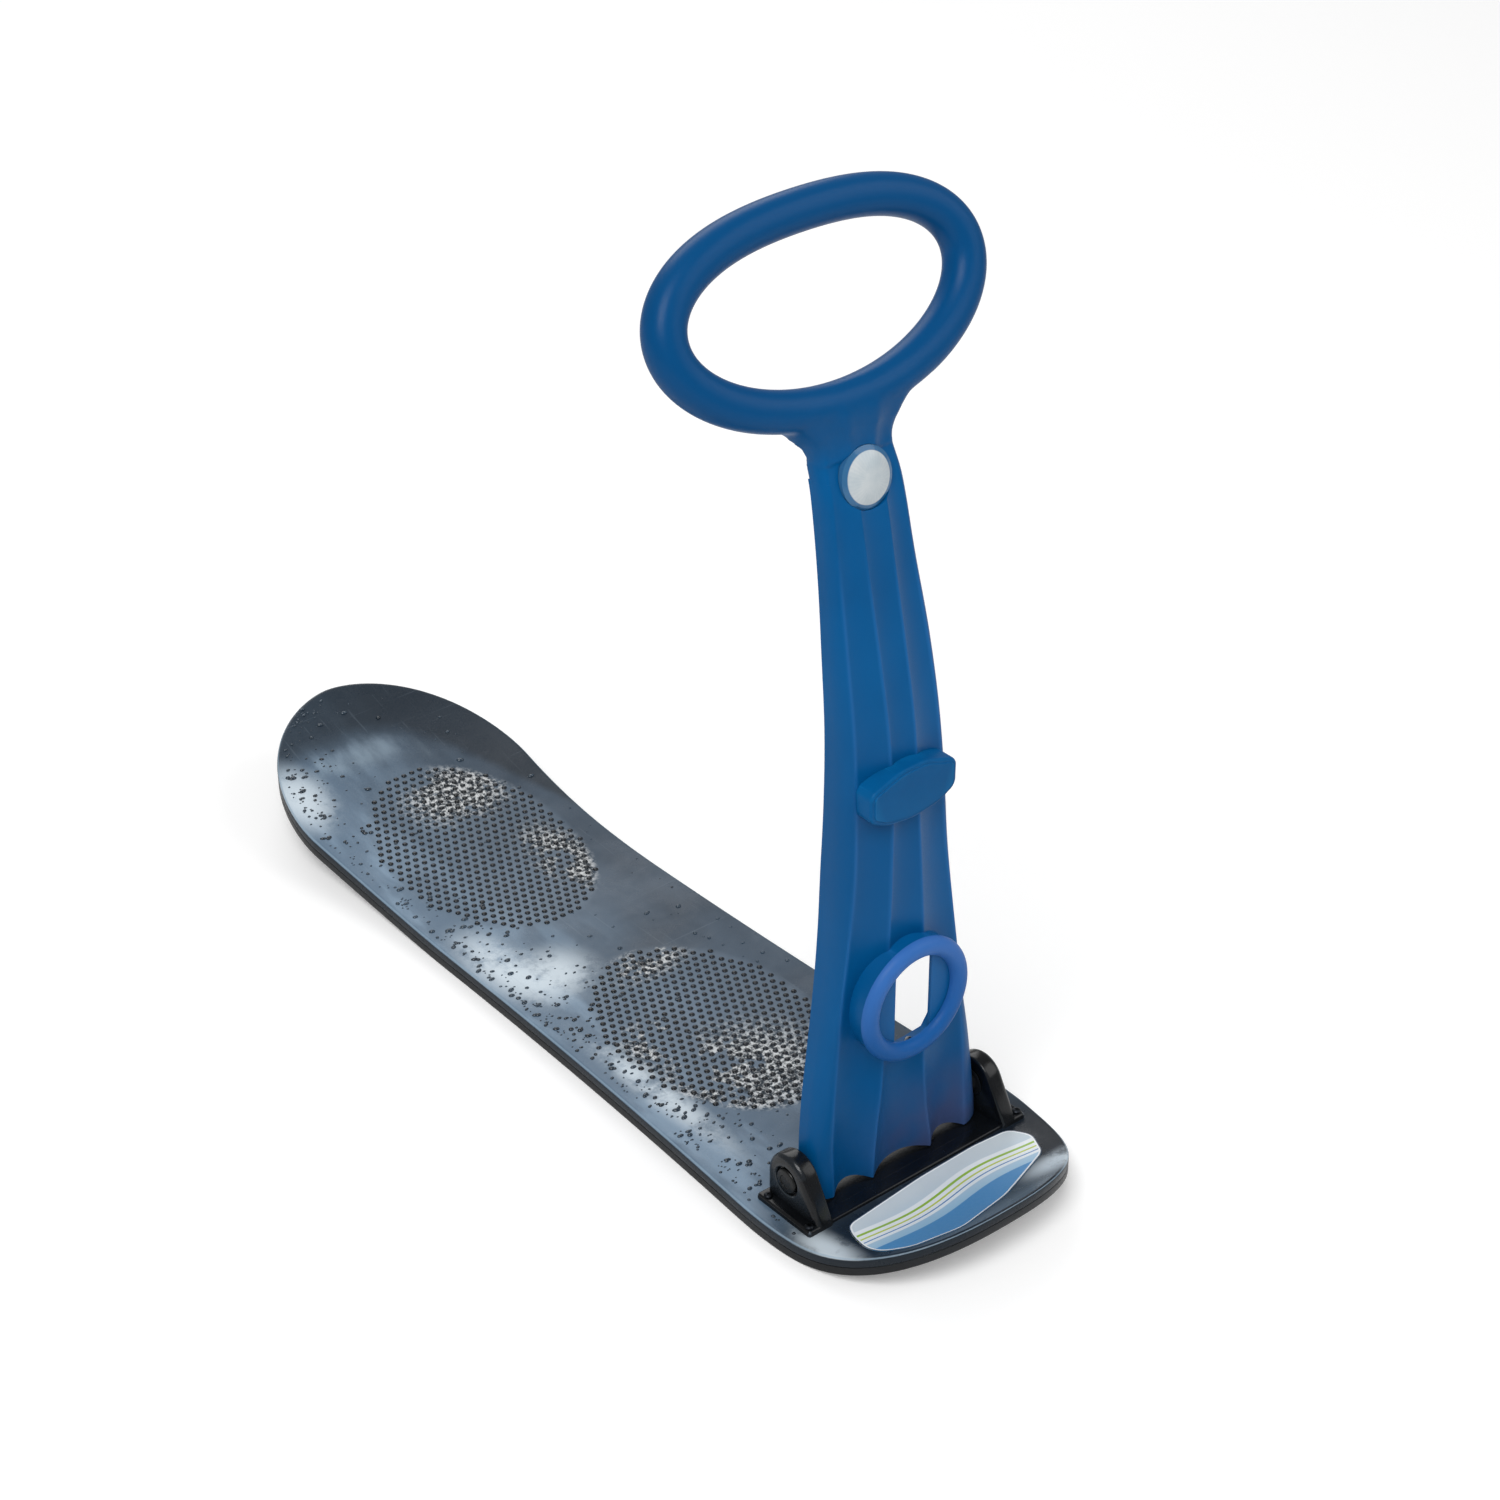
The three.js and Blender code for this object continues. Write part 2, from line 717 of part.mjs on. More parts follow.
// The right half of the column's outer section at a height, from the middle of its front face round
// the two crests and the shoulder to its rear edge, as [x, y, share of the foot's scallop].
function sectionHalf(z) {
  const at = columnAt(z);
  const points = [[0, at.front + at.flute, 1]];
  for (const share of innerFlutePlaceShares) {
    points.push([at.inner * share, at.front + at.flute * (1 - share ** innerFlutePower), 1 - share ** 2]);
  }
  points.push([at.inner, at.front, 0]);
  for (const share of outerFlutePlaceShares) {
    const dip = 1 - (2 * share - 1) ** 2;
    const x = at.inner + (at.outer - at.inner) * share;
    points.push([x, at.front + at.setBack * share + at.flute * dip, dip]);
  }
  points.push([at.outer, at.front + at.setBack, 0]);
  const shoulder = (at.depth - at.setBack) * shoulderShare;
  for (const share of shoulderPlaceShares) {
    const bend = (Math.PI / 2) * share;
    const x = at.outer + (at.half - at.outer) * Math.sin(bend);
    points.push([x, at.front + at.setBack + shoulder * (1 - Math.cos(bend)), share]);
  }
  points.push([at.half, at.front + at.depth, 1]);
  return points;
}

// The whole outer section, drawn out by grow, from the left rear edge round to the right one.
function sectionLine(z, grow) {
  const right = sectionHalf(z);
  const left = right.slice(1).map(([x, y, scallop]) => [-x, y, scallop]).reverse();
  const line = [...left, ...right];
  return line.map(([x, y, scallop], i) => {
    const before = line[Math.max(i - 1, 0)];
    const after = line[Math.min(i + 1, line.length - 1)];
    const along = new THREE.Vector2(after[0] - before[0], after[1] - before[1]).normalize();
    return [x + along.y * grow, y - along.x * grow, scallop];
  });
}

// The foot's lower edge: lowest at the crests, higher in the flutes and at the cheeks.
function footHeight(scallop, x) {
  const cheek = Math.abs(x) > outerCrestX ? cheekFoot - columnFoot : scallopHeight;
  return columnFoot + scallop * cheek;
}

// The column's heights, from the foot to the top.
function columnHeights() {
  const heights = [];
  for (let i = 0; i <= columnSlices; i += 1) {
    const share = i / columnSlices;
    heights.push(columnFoot + (columnTop - columnFoot) * share ** heightPower);
  }
  return heights;
}

// The column filled in from its front face to its rear edge, drawn out by grow.
function columnEnvelope(grow) {
  const rings = columnHeights().map((z) =>
    sectionLine(z, grow).map(([x, y]) => new THREE.Vector3(x, y, z)),
  );
  return loft(rings, inXY);
}

// The open-backed column: its wall follows the section, and its foot is scalloped.
function columnWallBody() {
  const rings = columnHeights().map((z) => {
    const outer = sectionLine(z, 0);
    const inner = sectionLine(z, -columnWall).reverse();
    return [...outer, ...inner].map(([x, y, scallop]) => {
      const low = footHeight(scallop, x);
      return new THREE.Vector3(x, y, Math.max(z, low + (z - columnFoot) * footEaseShare));
    });
  });
  return loft(rings, inXY);
}

// A point on the grip's centre line, in the ring's own plane.
function gripPoint(angle) {
  const u = gripHalfWidth * (Math.cos(angle) + gripWidthThirdShare * Math.cos(3 * angle));
  const wave = gripHeightSecondShare * Math.cos(2 * angle) + gripHeightThirdShare * Math.sin(3 * angle);
  return [u, gripHalfHeight * (Math.sin(angle) + wave)];
}

class GripCurve extends THREE.Curve {
  getPoint(share, target = new THREE.Vector3()) {
    const [u, v] = gripPoint(2 * Math.PI * (share - 0.25));
    const [lean, rise] = [Math.sin(gripLeanAngle), Math.cos(gripLeanAngle)];
    return target.set(u, gripY + v * lean, gripZ + v * rise);
  }
}

// The ring grip: a closed round tube.
function gripRing() {
  return solid(new THREE.TubeGeometry(new GripCurve(), gripSegments, gripTubeRadius, gripSides, true));
}

// The neck that spreads from the column's top into the underside of the ring.
function gripNeck() {
  const rise = neckLow - neckHigh;
  const shape = new THREE.Shape();
  shape.moveTo(-neckHalfWidth, -neckLow);
  shape.lineTo(neckHalfWidth, -neckLow);
  shape.bezierCurveTo(
    neckHalfWidth, -neckLow + rise * neckRootShare,
    neckHalfWidth * neckBulgeShare, -neckLow + rise * neckFlareShare,
    neckSpread, -neckHigh,
  );
  shape.lineTo(neckSpread, -neckHigh + neckInside);
  shape.quadraticCurveTo(0, -neckHigh - neckDip, -neckSpread, -neckHigh + neckInside);
  shape.lineTo(-neckSpread, -neckHigh);
  shape.bezierCurveTo(
    -neckHalfWidth * neckBulgeShare, -neckLow + rise * neckFlareShare,
    -neckHalfWidth, -neckLow + rise * neckRootShare,
    -neckHalfWidth, -neckLow,
  );
  const neck = prismY(shape, neckSetBack - neckDepth / 2, neckSetBack + neckDepth / 2, neckBevel, 8);
  const lean = (-gripLeanAngle * 180) / Math.PI;
  return neck.rotate([lean, 0, 0]).translate([0, gripY, gripZ]);
}

// The lamp's own frame: its origin on the column's front face, -Y pointing out of the column.
const lampY = columnAt(lampZ).front;
const lampTilt = (-lampTiltAngle * 180) / Math.PI;
const inLampFrame = (body) => body.rotate([lampTilt, 0, 0]).translate([0, lampY, lampZ]);
const caseScrewHeights = [caseUp + caseTab - bossRadius, -caseDown - caseTab + bossRadius];

// The barrel that turns on the axle, kept behind the column's front face.
function hingeBarrel() {
  const at = columnAt(pinZ);
  const reach = at.half - columnWall / 2;
  const barrel = sideways(rod(barrelRadius, -reach, reach, pinSides)).translate([0, pinY, pinZ]);
  const rear = box(
    [-at.half, at.front + at.depth - columnWall, pinZ - barrelRadius],
    [at.half, pinY + barrelRadius, pinZ + barrelRadius],
  );
  return barrel.intersect(columnEnvelope(-seatGap).add(rear));
}

// The handle moulding: column, neck and grip, with the hinge barrel and screw bosses.
function addHandleMoulding() {
  let handle = columnWallBody();
  handle = handle.add(hingeBarrel());
  handle = handle.add(gripNeck()).add(gripRing());
  for (const z of caseScrewHeights) {
    const boss = rod(bossRadius, columnWall / 2, caseFront - seatGap, bossSides).translate([0, 0, z]);
    handle = handle.add(inLampFrame(boss));
  }
  const bore = sideways(rod(bushSleeveRadius + seatGap, -earInner, earInner, pinSides));
  handle = handle.subtract(bore.translate([0, pinY, pinZ]));
  const slot = roundedPolygon(
    [
      [-slotHalfWidth, collarZ - slotHalfHeight],
      [slotHalfWidth, collarZ - slotHalfHeight],
      [slotHalfWidth, collarZ + slotHalfHeight],
      [-slotHalfWidth, collarZ + slotHalfHeight],
    ],
    slotHalfWidth / 3,
  );
  handle = handle.add(collarPad(0, padFace).subtract(columnEnvelope(-columnWall)));
  handle = handle.subtract(collarPad(columnWall, padFace + columnWall));
  handle = handle.subtract(prismY(slot, padFace - overrun, padFace + columnDepth));
  const lensHole = rod(lensRadius + seatGap, -columnDepth, lensFlangeStart - seatGap, lensSides);
  const flangeRoom = rod(lensFlangeRadius + seatGap, lensFlangeStart - seatGap, caseFront, lensSides);
  handle = handle.subtract(inLampFrame(lensHole.add(flangeRoom)));
  const caseRoom = lampBox(caseHalfWidth + seatGap, caseDown + caseTab + seatGap,
    caseUp + caseTab + seatGap, caseFront - seatGap, caseBack + columnDepth, caseRound);
  handle = handle.subtract(inLampFrame(caseRoom));
  for (const z of caseScrewHeights) {
    const hole = rod(screwRadius + seatGap, columnWall, caseFront + overrun, holeSides).translate([0, 0, z]);
    handle = handle.subtract(inLampFrame(hole));
  }
  for (const [x, z] of fixingPlaces) {
    const hole = rod(screwRadius + seatGap, padFace - overrun, columnFrontY + columnReach, holeSides);
    handle = handle.subtract(hole.translate([x, 0, z]));
  }
  const ends = [0, ...lengthEndShares.map((share) => share * columnTop), 2 * columnTop];
  lengthNames.forEach((name, i) => {
    const above = handle.trimByPlane([0, 0, 1], ends[i] + seatGap / 2);
    piece(name, above.trimByPlane([0, 0, -1], seatGap / 2 - ends[i + 1]), "blue");
  });
}

// The face of the pad that carries the collar, ahead of the column's own face.
const padFace = columnAt(collarZ).front - collarPadProud;

// A cone about the collar's axis, drawn in by inset, from a front face back into the column.
function collarPad(inset, face) {
  const foot = padFace + collarPadRun;
  const profile = [
    [0, face],
    [collarPadTop - inset, face],
    [collarPadFoot - inset, foot],
    [collarPadFoot - inset, foot + columnWall + inset],
    [0, foot + columnWall + inset],
  ];
  return turned(profile, ringSides).translate([0, 0, collarZ]);
}

// Where the collar's and the badge's screws pass through the column's front wall.
const badgeScrewX = badgeHalfWidth / 2;
const fixingPlaces = [
  [0, collarZ - collarScrewPlace],
  [0, collarZ + collarScrewPlace],
  [-badgeScrewX, badgeZ],
  [badgeScrewX, badgeZ],
];

// The screw that holds a fixing from inside the column, its head against the wall at the given depth,
// and the hole it takes in that fixing.
function fixingScrew([x, z], wallY, length) {
  const face = wallY + seatGap + screwHeadDepth;
  const screw = screwBody(length).rotate([180, 0, 0]).translate([x, face, z]);
  const tip = face - length - seatGap;
  const hole = rod(screwRadius + seatGap, tip, face, holeSides).translate([x, 0, z]);
  return { screw, hole };
}

// The round collar that the tow rope passes through, seated on its pad.
function addCollar() {
  const front = columnAt(collarZ).front - collarProud;
  const back = padFace - seatGap;
  const rim = [];
  for (let i = 0; i <= roundSteps; i += 1) {
    const bend = (Math.PI / 2) * (i / roundSteps);
    rim.push([collarRound * (1 - Math.sin(bend)), collarRound * (1 - Math.cos(bend))]);
  }
  const outer = rim.map(([dy, dr]) => [collarOuter - dr, front + dy]);
  const inner = rim.map(([dy, dr]) => [collarInner + dr, front + dy]);
  const profile = [[collarInner, back], ...inner, ...outer.reverse(), [collarOuter, back]];
  let collar = turned([...profile, profile[0]], ringSides).translate([0, 0, collarZ]);
  fixingPlaces.slice(0, 2).forEach((place, i) => {
    const { screw, hole } = fixingScrew(place, padFace + columnWall, collarScrewLength);
    collar = collar.subtract(hole);
    piece("collar_screw_" + (i + 1), screw, "steel");
  });
  piece("collar_ring", collar, "collar");
}

// The badge's outline in X and Z, drawn in by inset: a low gable over a bowed sill.
function badgeOutline(inset) {
  const half = badgeHalfWidth - inset;
  return roundedPolygon(
    [
      [-half, badgeZ - badgeSill],
      [-half * badgeSillShare, badgeZ - badgeBow * badgeBowShare + inset],
      [0, badgeZ - badgeBow + inset],
      [half * badgeSillShare, badgeZ - badgeBow * badgeBowShare + inset],
      [half, badgeZ - badgeSill],
      [half, badgeZ + badgeShoulder - inset],
      [half * badgeRidgeShare, badgeZ + badgePeak - inset],
      [-half * badgeRidgeShare, badgeZ + badgePeak - inset],
      [-half, badgeZ + badgeShoulder - inset],
    ],
    badgeCorner,
  );
}

// The badge block: a plain plaque that stands out from the column on a solid body.
function addBadge() {
  const back = columnAt(badgeZ).front + columnDepth / 2;
  let badge = prismY(badgeOutline(0), badgeFaceY, back, badgeBevel);
  const recess = prismY(badgeOutline(badgeBorder), badgeFaceY - overrun, badgeFaceY + badgeRecess);
  badge = badge.subtract(recess).subtract(columnEnvelope(seatGap));
  fixingPlaces.slice(2).forEach((place, i) => {
    const inside = sectionLine(badgeZ, -columnWall);
    const underHead = inside.filter((p) => Math.abs(p[0] - place[0]) < screwHeadRadius + innerCrestX / 4);
    const wallY = Math.max(...underHead.map((p) => p[1]));
    const { screw, hole } = fixingScrew(place, wallY, screwLength);
    badge = badge.subtract(hole);
    piece("badge_screw_" + (i + 1), screw, "steel");
  });
  piece("badge_block", badge, "badge");
}

// The two flanged bushes that carry the barrel on the axle.
function addBushes() {
  const wall = columnHalfWidth;
  const flangeStart = wall + 2 * seatGap;
  const flangeEnd = earInner - seatGap;
  const inner = axleRadius + seatGap;
  const bush = sideways(
    turned(
      [
        [inner, wall - bushSleeveLength],
        [bushSleeveRadius, wall - bushSleeveLength],
        [bushSleeveRadius, flangeStart],
        [bushFlangeRadius, flangeStart],
        [bushFlangeRadius, flangeEnd],
        [inner, flangeEnd],
        [inner, wall - bushSleeveLength],
      ],
      pinSides,
    ),
  ).translate([0, pinY, pinZ]);
  piece("hinge_bush_right", bush, "bush");
  piece("hinge_bush_left", bush.mirror([1, 0, 0]), "bush");
}

// The lens: a domed cap that is also the push button, with a post over the switch.
function addLensButton() {
  const dome = (radius, proud) => {
    const sphere = (radius ** 2 + proud ** 2) / (2 * proud);
    const open = Math.asin(radius / sphere);
    const arc = [];
    for (let i = 0; i <= arcSteps; i += 1) {
      const angle = (open * i) / arcSteps;
      arc.push([sphere * Math.sin(angle), -proud + sphere * (1 - Math.cos(angle))]);
    }
    return arc;
  };
  const outer = dome(lensRadius, lensProud);
  const inner = dome(lensRadius - lensWall, lensProud - lensWall).reverse();
  const flangeEnd = lensFlangeStart + lensFlangeDepth;
  const postEnd = circuitFront - switchHeight - seatGap - lensTravel;
  const profile = [
    ...outer,
    [lensRadius, lensFlangeStart],
    [lensFlangeRadius, lensFlangeStart],
    [lensFlangeRadius, flangeEnd],
    [lensRadius - lensWall, flangeEnd],
    ...inner,
  ];
  const shell = turned(profile, lensSides);
  const post = rod(lensPostRadius, -lensProud + lensWall / 2, postEnd, holeSides);
  piece("lens_button", inLampFrame(shell.add(post)), "lens");
}

// A rounded box in the lamp's frame.
function lampBox(halfWidth, down, up, from, to, round) {
  const corners = [[-halfWidth, -down], [halfWidth, -down], [halfWidth, up], [-halfWidth, up]];
  return prismY(roundedPolygon(corners, round), from, to, 0, 4);
}

// The lamp's case: an open tray behind the lens, with a tab and a screw at each end.
function addLampCase() {
  let tray = lampBox(caseHalfWidth, caseDown, caseUp, caseFront, caseBack, caseRound);
  const [halfIn, downIn, upIn] = [caseHalfWidth - caseWall, caseDown - caseWall, caseUp - caseWall];
  tray = tray.subtract(lampBox(halfIn, downIn, upIn, caseFront - overrun, caseBack - caseWall, caseRound));
  const tabs = lampBox(bossRadius, caseDown + caseTab, caseUp + caseTab, caseFront, caseFront + caseWall, caseWall);
  const insides = lampBox(halfIn, downIn, upIn, caseFront - overrun, caseBack, caseRound);
  tray = tray.add(tabs.subtract(insides));
  const doorway = lampBox(coverHalfWidth - caseWall, coverDown - caseWall, -coverUp - caseWall,
    caseBack - caseWall - overrun, caseBack + overrun, caseWall);
  tray = tray.subtract(doorway);
  for (const z of caseScrewHeights) {
    const hole = rod(screwRadius + seatGap, caseFront - overrun, caseBack, holeSides);
    tray = tray.subtract(hole.translate([0, 0, z]));
  }
  const post = rod(bossRadius - caseWall / 2, caseFront + caseWall, caseBack - caseWall / 2, bossSides);
  const postPlace = [0, 0, -coverUp + bossRadius / 2];
  tray = tray.add(post.translate(postPlace));
  const coverHole = rod(screwRadius + seatGap, caseFront, caseBack + overrun, holeSides);
  tray = tray.subtract(coverHole.translate(postPlace));
  piece("lamp_case", inLampFrame(tray), "black");
  caseScrewHeights.forEach((z, i) => {
    const face = caseFront + caseWall + seatGap + screwHeadDepth;
    const screw = screwBody().rotate([180, 0, 0]).translate([0, face, z]);
    piece("case_screw_" + (i + 1), inLampFrame(screw), "steel");
  });
  const back = caseBack + seatGap;
  let cover = lampBox(coverHalfWidth, coverDown, -coverUp + bossRadius + caseWall, back,
    back + coverThickness, caseWall);
  cover = cover.subtract(rod(screwRadius + seatGap, caseBack, caseBack + columnDepth, holeSides).translate(postPlace));
  piece("battery_cover", inLampFrame(cover), "black");
  const coverScrew = screwBody().rotate([180, 0, 0]);
  const coverFace = back + coverThickness + seatGap + screwHeadDepth;
  const seated = coverScrew.translate([0, coverFace, postPlace[2]]);
  piece("cover_screw", inLampFrame(seated), "steel");
}

// The circuit board with its switch and three lamps.
function addCircuit() {
  const back = circuitFront + circuitThickness;
  const board = lampBox(boardHalf, boardHalf, boardHalf, circuitFront, back, caseWall);
  piece("circuit_board", inLampFrame(board), "circuit");
  const top = circuitFront - seatGap;
  const body = lampBox(switchHalf, switchHalf, switchHalf, circuitFront - switchHeight, top, switchHalf / 3);
  piece("push_switch", inLampFrame(body), "black");
  const tones = [
    ["led_red", "red", ledRedAngle],
    ["led_green", "green", ledGreenAngle],
    ["led_blue", "lamp_blue", ledBlueAngle],
  ];
  for (const [name, colour, degrees] of tones) {
    const angle = (degrees * Math.PI) / 180;
    const dome = [];
    for (let i = 0; i <= roundSteps; i += 1) {
      const bend = (Math.PI / 2) * (i / roundSteps);
      dome.push([ledRadius * Math.sin(bend), top - ledHeight + ledRadius * (1 - Math.cos(bend))]);
    }
    const lamp = turned([...dome, [ledRadius, top], [0, top]], lampSides);
    const place = [ledRingRadius * Math.cos(angle), 0, ledRingRadius * Math.sin(angle)];
    piece(name, inLampFrame(lamp.translate(place)), colour);
  }
}

// Three button cells side by side between two contact strips.
function addBattery() {
  const cellBack = caseBack - contactThickness - seatGap;
  const cellFront = cellBack - cellThickness;
  for (let i = 0; i < cellCount; i += 1) {
    const cell = rod(cellRadius, cellFront, cellBack, pinSides).translate([(i - 1) * cellPitch, 0, -cellDrop]);
    piece("button_cell_" + (i + 1), inLampFrame(cell), "steel");
  }
  const reach = cellPitch + cellRadius;
  const strip = (from) =>
    box(
      [-reach, from, -cellDrop - contactWidth / 2],
      [reach, from + contactThickness, -cellDrop + contactWidth / 2],
    );
  piece("contact_front", inLampFrame(strip(cellFront - seatGap - contactThickness)), "brass");
  piece("contact_rear", inLampFrame(strip(cellBack + seatGap)), "brass");
}

addDeckShell();
addRunningBase();
addNoseLabel();
addHingeBracket();
addAxle();
addHandleMoulding();
addBushes();
addCollar();
addBadge();
addLensButton();
addLampCase();
addCircuit();
addBattery();

export default scooter;
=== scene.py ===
import json
import math
import random

import bmesh
import bpy
from mathutils import Matrix, Vector
from mathutils.bvhtree import BVHTree


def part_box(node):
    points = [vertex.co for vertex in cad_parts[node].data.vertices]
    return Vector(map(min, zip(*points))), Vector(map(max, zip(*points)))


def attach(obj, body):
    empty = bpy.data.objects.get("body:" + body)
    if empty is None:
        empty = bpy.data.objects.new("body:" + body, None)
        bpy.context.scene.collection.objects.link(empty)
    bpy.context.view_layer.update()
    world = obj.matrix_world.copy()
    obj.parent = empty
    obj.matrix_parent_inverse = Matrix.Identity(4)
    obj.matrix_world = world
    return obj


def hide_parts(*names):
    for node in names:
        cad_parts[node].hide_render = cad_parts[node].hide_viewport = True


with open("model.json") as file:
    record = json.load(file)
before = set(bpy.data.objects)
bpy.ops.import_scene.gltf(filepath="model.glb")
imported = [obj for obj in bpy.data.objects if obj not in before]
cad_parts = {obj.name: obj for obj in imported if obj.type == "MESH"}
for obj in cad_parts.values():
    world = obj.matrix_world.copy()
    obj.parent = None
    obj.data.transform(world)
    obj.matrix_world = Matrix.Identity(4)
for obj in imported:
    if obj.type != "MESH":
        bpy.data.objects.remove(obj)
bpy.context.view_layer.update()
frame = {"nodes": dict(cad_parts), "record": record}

# Board, as in the solids
BOARD_LENGTH = 0.94
BOARD_THICKNESS = 0.0173
PARTING_HEIGHT = 0.0083
NOSE_HALF = 0.1443
WAIST_HALF = 0.1139
TAIL_HALF = 0.141
NOSE_RISE = 0.0345
TAIL_RISE = 0.0636
WAIST_SHARE = 0.691
NOSE_RISE_SHARE = 0.118
TAIL_RISE_SHARE = 0.617
NOSE_CAP_SHARE = 0.191
TAIL_CAP_SHARE = 0.8315
NOSE_ROUNDNESS = 2.49
TAIL_ROUNDNESS = 1.78
OUTLINE_POINTS = 256
BEND_STEP = 0.01
SEAT_GAP = 0.0003
DECK_EDGE_ROUND = 0.003
PARTING_ROUND = 0.0005
BASE_EDGE_ROUND = 0.0012
GROOVE_OFFSET = 0.06
GROOVE_WIDTH = 0.014
GROOVE_DEPTH = 0.0016
GROOVE_REACH = 0.338
SCREW_SEAT = 0.0042
SCREW_SEAT_DEPTH = 0.0026

# Nose label: each corner's place across the board, and along it from the nose's tip
LABEL_CORNERS = [
    (-0.084, 0.093), (-0.091, 0.08), (-0.097, 0.057), (-0.094, 0.042), (-0.078, 0.025), (-0.038, 0.011),
    (0.018, 0.022), (0.088, 0.052), (0.103, 0.079), (0.094, 0.0985), (0.058, 0.102), (-0.002, 0.1005),
]
LABEL_ROUND = 0.008

# Foot pads: where each is along the board, and its half length, half width and stud pitch
PAD_PLACES = [0.222, -0.11]
PAD_HALF_LENGTH = 0.127
PAD_HALF_WIDTH = 0.088
STUD_PITCH = 0.0088
STUD_RADIUS = 0.0027
STUD_HEIGHT = 0.0013

# Melt-water beads: how many, how big, how near the board's edge, and the share kept away from the near edge
BEAD_COUNT = 620
BEAD_RADIUS = 0.0015
BEAD_HEIGHT = 0.0011
BEAD_MARGIN = 0.008
BEADS_FAR = 0.06
BEADS_ON_PADS = 0.25

# Hinge
PIN_Y = -0.33
PIN_Z = 0.0445
EAR_INNER = 0.091
EAR_OUTER = 0.107
EAR_RADIUS = 0.023
EAR_ROUND = 0.0052
EAR_INNER_ROUND = 0.0022
EAR_REAR = -0.305
EAR_FRONT = -0.369
FOOT_OUTER = 0.116
FOOT_TOP = 0.0223
STRAP_TOP = 0.0205
PAN_TOP = 0.0181
RECESS_RADIUS = 0.013
RECESS_DEPTH = 0.0035

# Column and grip
COLUMN_TOP = 0.64
COLUMN_FOOT = 0.019
COLUMN_HALF = 0.089
COLUMN_FRONT = -0.348
COLUMN_REACH = 0.072
COLUMN_DEPTH = 0.038
COLUMN_WALL = 0.003
CREST_DEPTH = 0.01
CREST_SET_BACK = 0.007
SCALLOP_HEIGHT = 0.0045
CHEEK_HEIGHT = 0.0055
INNER_CREST = 0.032
OUTER_CREST = 0.07
SHOULDER_SHARE = 0.62
# Each row: height, half width, forward lean, depth, inner and outer crest, flute, crest set-back
COLUMN_ROWS = [
    [0.03, 1.0, 0.0, 0.6, 0.97, 1.0, 1.0, 0.35],
    [0.094, 0.978, 0.03, 0.64, 0.84, 1.0, 0.72, 0.45],
    [0.163, 0.92, 0.035, 0.72, 0.7, 0.97, 0.45, 0.6],
    [0.234, 0.83, 0.038, 0.8, 0.64, 0.91, 0.36, 0.75],
    [0.313, 0.728, 0.04, 0.9, 0.6, 0.84, 0.3, 0.88],
    [0.391, 0.648, 0.048, 0.985, 0.54, 0.75, 0.27, 0.95],
    [0.469, 0.609, 0.071, 0.99, 0.47, 0.66, 0.25, 1.0],
    [0.5625, 0.58, 0.117, 0.91, 0.4, 0.615, 0.24, 1.0],
    [0.656, 0.542, 0.208, 0.84, 0.4, 0.585, 0.23, 0.9],
    [0.75, 0.515, 0.375, 0.71, 0.4, 0.55, 0.22, 0.8],
    [0.844, 0.462, 0.563, 0.64, 0.4, 0.5, 0.21, 0.75],
    [0.9375, 0.43, 0.753, 0.59, 0.39, 0.455, 0.2, 0.7],
    [1.0, 0.4, 0.935, 0.56, 0.34, 0.41, 0.2, 0.7],
]
COLUMN_JOINT = 0.612
COLUMN_STEP = 0.005
CREST_LINE = 0.0017
# The neck from the column's top to the ring: half widths, and places up the ring's plane
NECK_HALVES = (0.051, 0.081)
NECK_PLACES = (-0.113, -0.096, -0.081, -0.066)
NECK_FLUSH = 0.036
NECK_STEPS = 14
GRIP_Y = -0.2357
GRIP_Z = 0.7281
GRIP_LEAN = math.radians(24.7)
GRIP_HALF_WIDTH = 0.1304
GRIP_HALF_HEIGHT = 0.0727
GRIP_TUBE = 0.0158
TUBE_SQUARENESS = 2.25
GRIP_GRAIN = 0.0013
GRIP_STATIONS = 180
GRIP_SIDES = 40
BARREL_RADIUS = 0.013
BUSH_SLEEVE = 0.0083
BUSH_REACH = 0.074
AXLE_ROOM = 0.0053

# Fittings on the column
COLLAR_Z = 0.1855
COLLAR_OUTER = 0.054
COLLAR_INNER = 0.038
COLLAR_PROUD = 0.017
COLLAR_ROLL = 0.0074
SLOT_CORNER = 0.006
SLOT_HALF_WIDTH = 0.0186
SLOT_HALF_HEIGHT = 0.042
PAD_PROUD = 0.009
PAD_TOP = 0.0505
PAD_FOOT = 0.052
PAD_RUN = 0.017
BADGE_Z = 0.3695
BADGE_FACE = -0.348
BADGE_PEAK = 0.025
BADGE_SHOULDER = 0.0145
BADGE_SILL = 0.009
BADGE_BOW = 0.0215
BADGE_REACH = 0.024
LAMP_Z = 0.6098
LAMP_TILT = math.radians(13.5)
LENS_RADIUS = 0.0236
LENS_PROUD = 0.0045
LENS_RISE = 0.0062
LENS_WALL = 0.0018
LENS_FLANGE = 0.0244
LENS_SEAT = 0.0066
LENS_BACK = 0.0078
LENS_RIM = 0.0038

# The photograph's camera: where it stands, which way is back from its subject, and its lens
CAMERA_PLACE = Vector((-1.3791, -1.8035, 1.6742))
CAMERA_BACK = Vector((-0.5430, -0.6476, 0.5346))
CAMERA_LENS = 77.437

# The corners of a rectangle round its middle
CORNER_SIGNS = ((-1, -1), (1, -1), (1, 1), (-1, 1))


def clamp01(value):
    return min(max(value, 0.0), 1.0)


# Mesh helpers


def linked(name, data):
    """An object in the scene that holds a mesh, a lamp or a camera."""
    piece = bpy.data.objects.new(name, data)
    bpy.context.scene.collection.objects.link(piece)
    return piece


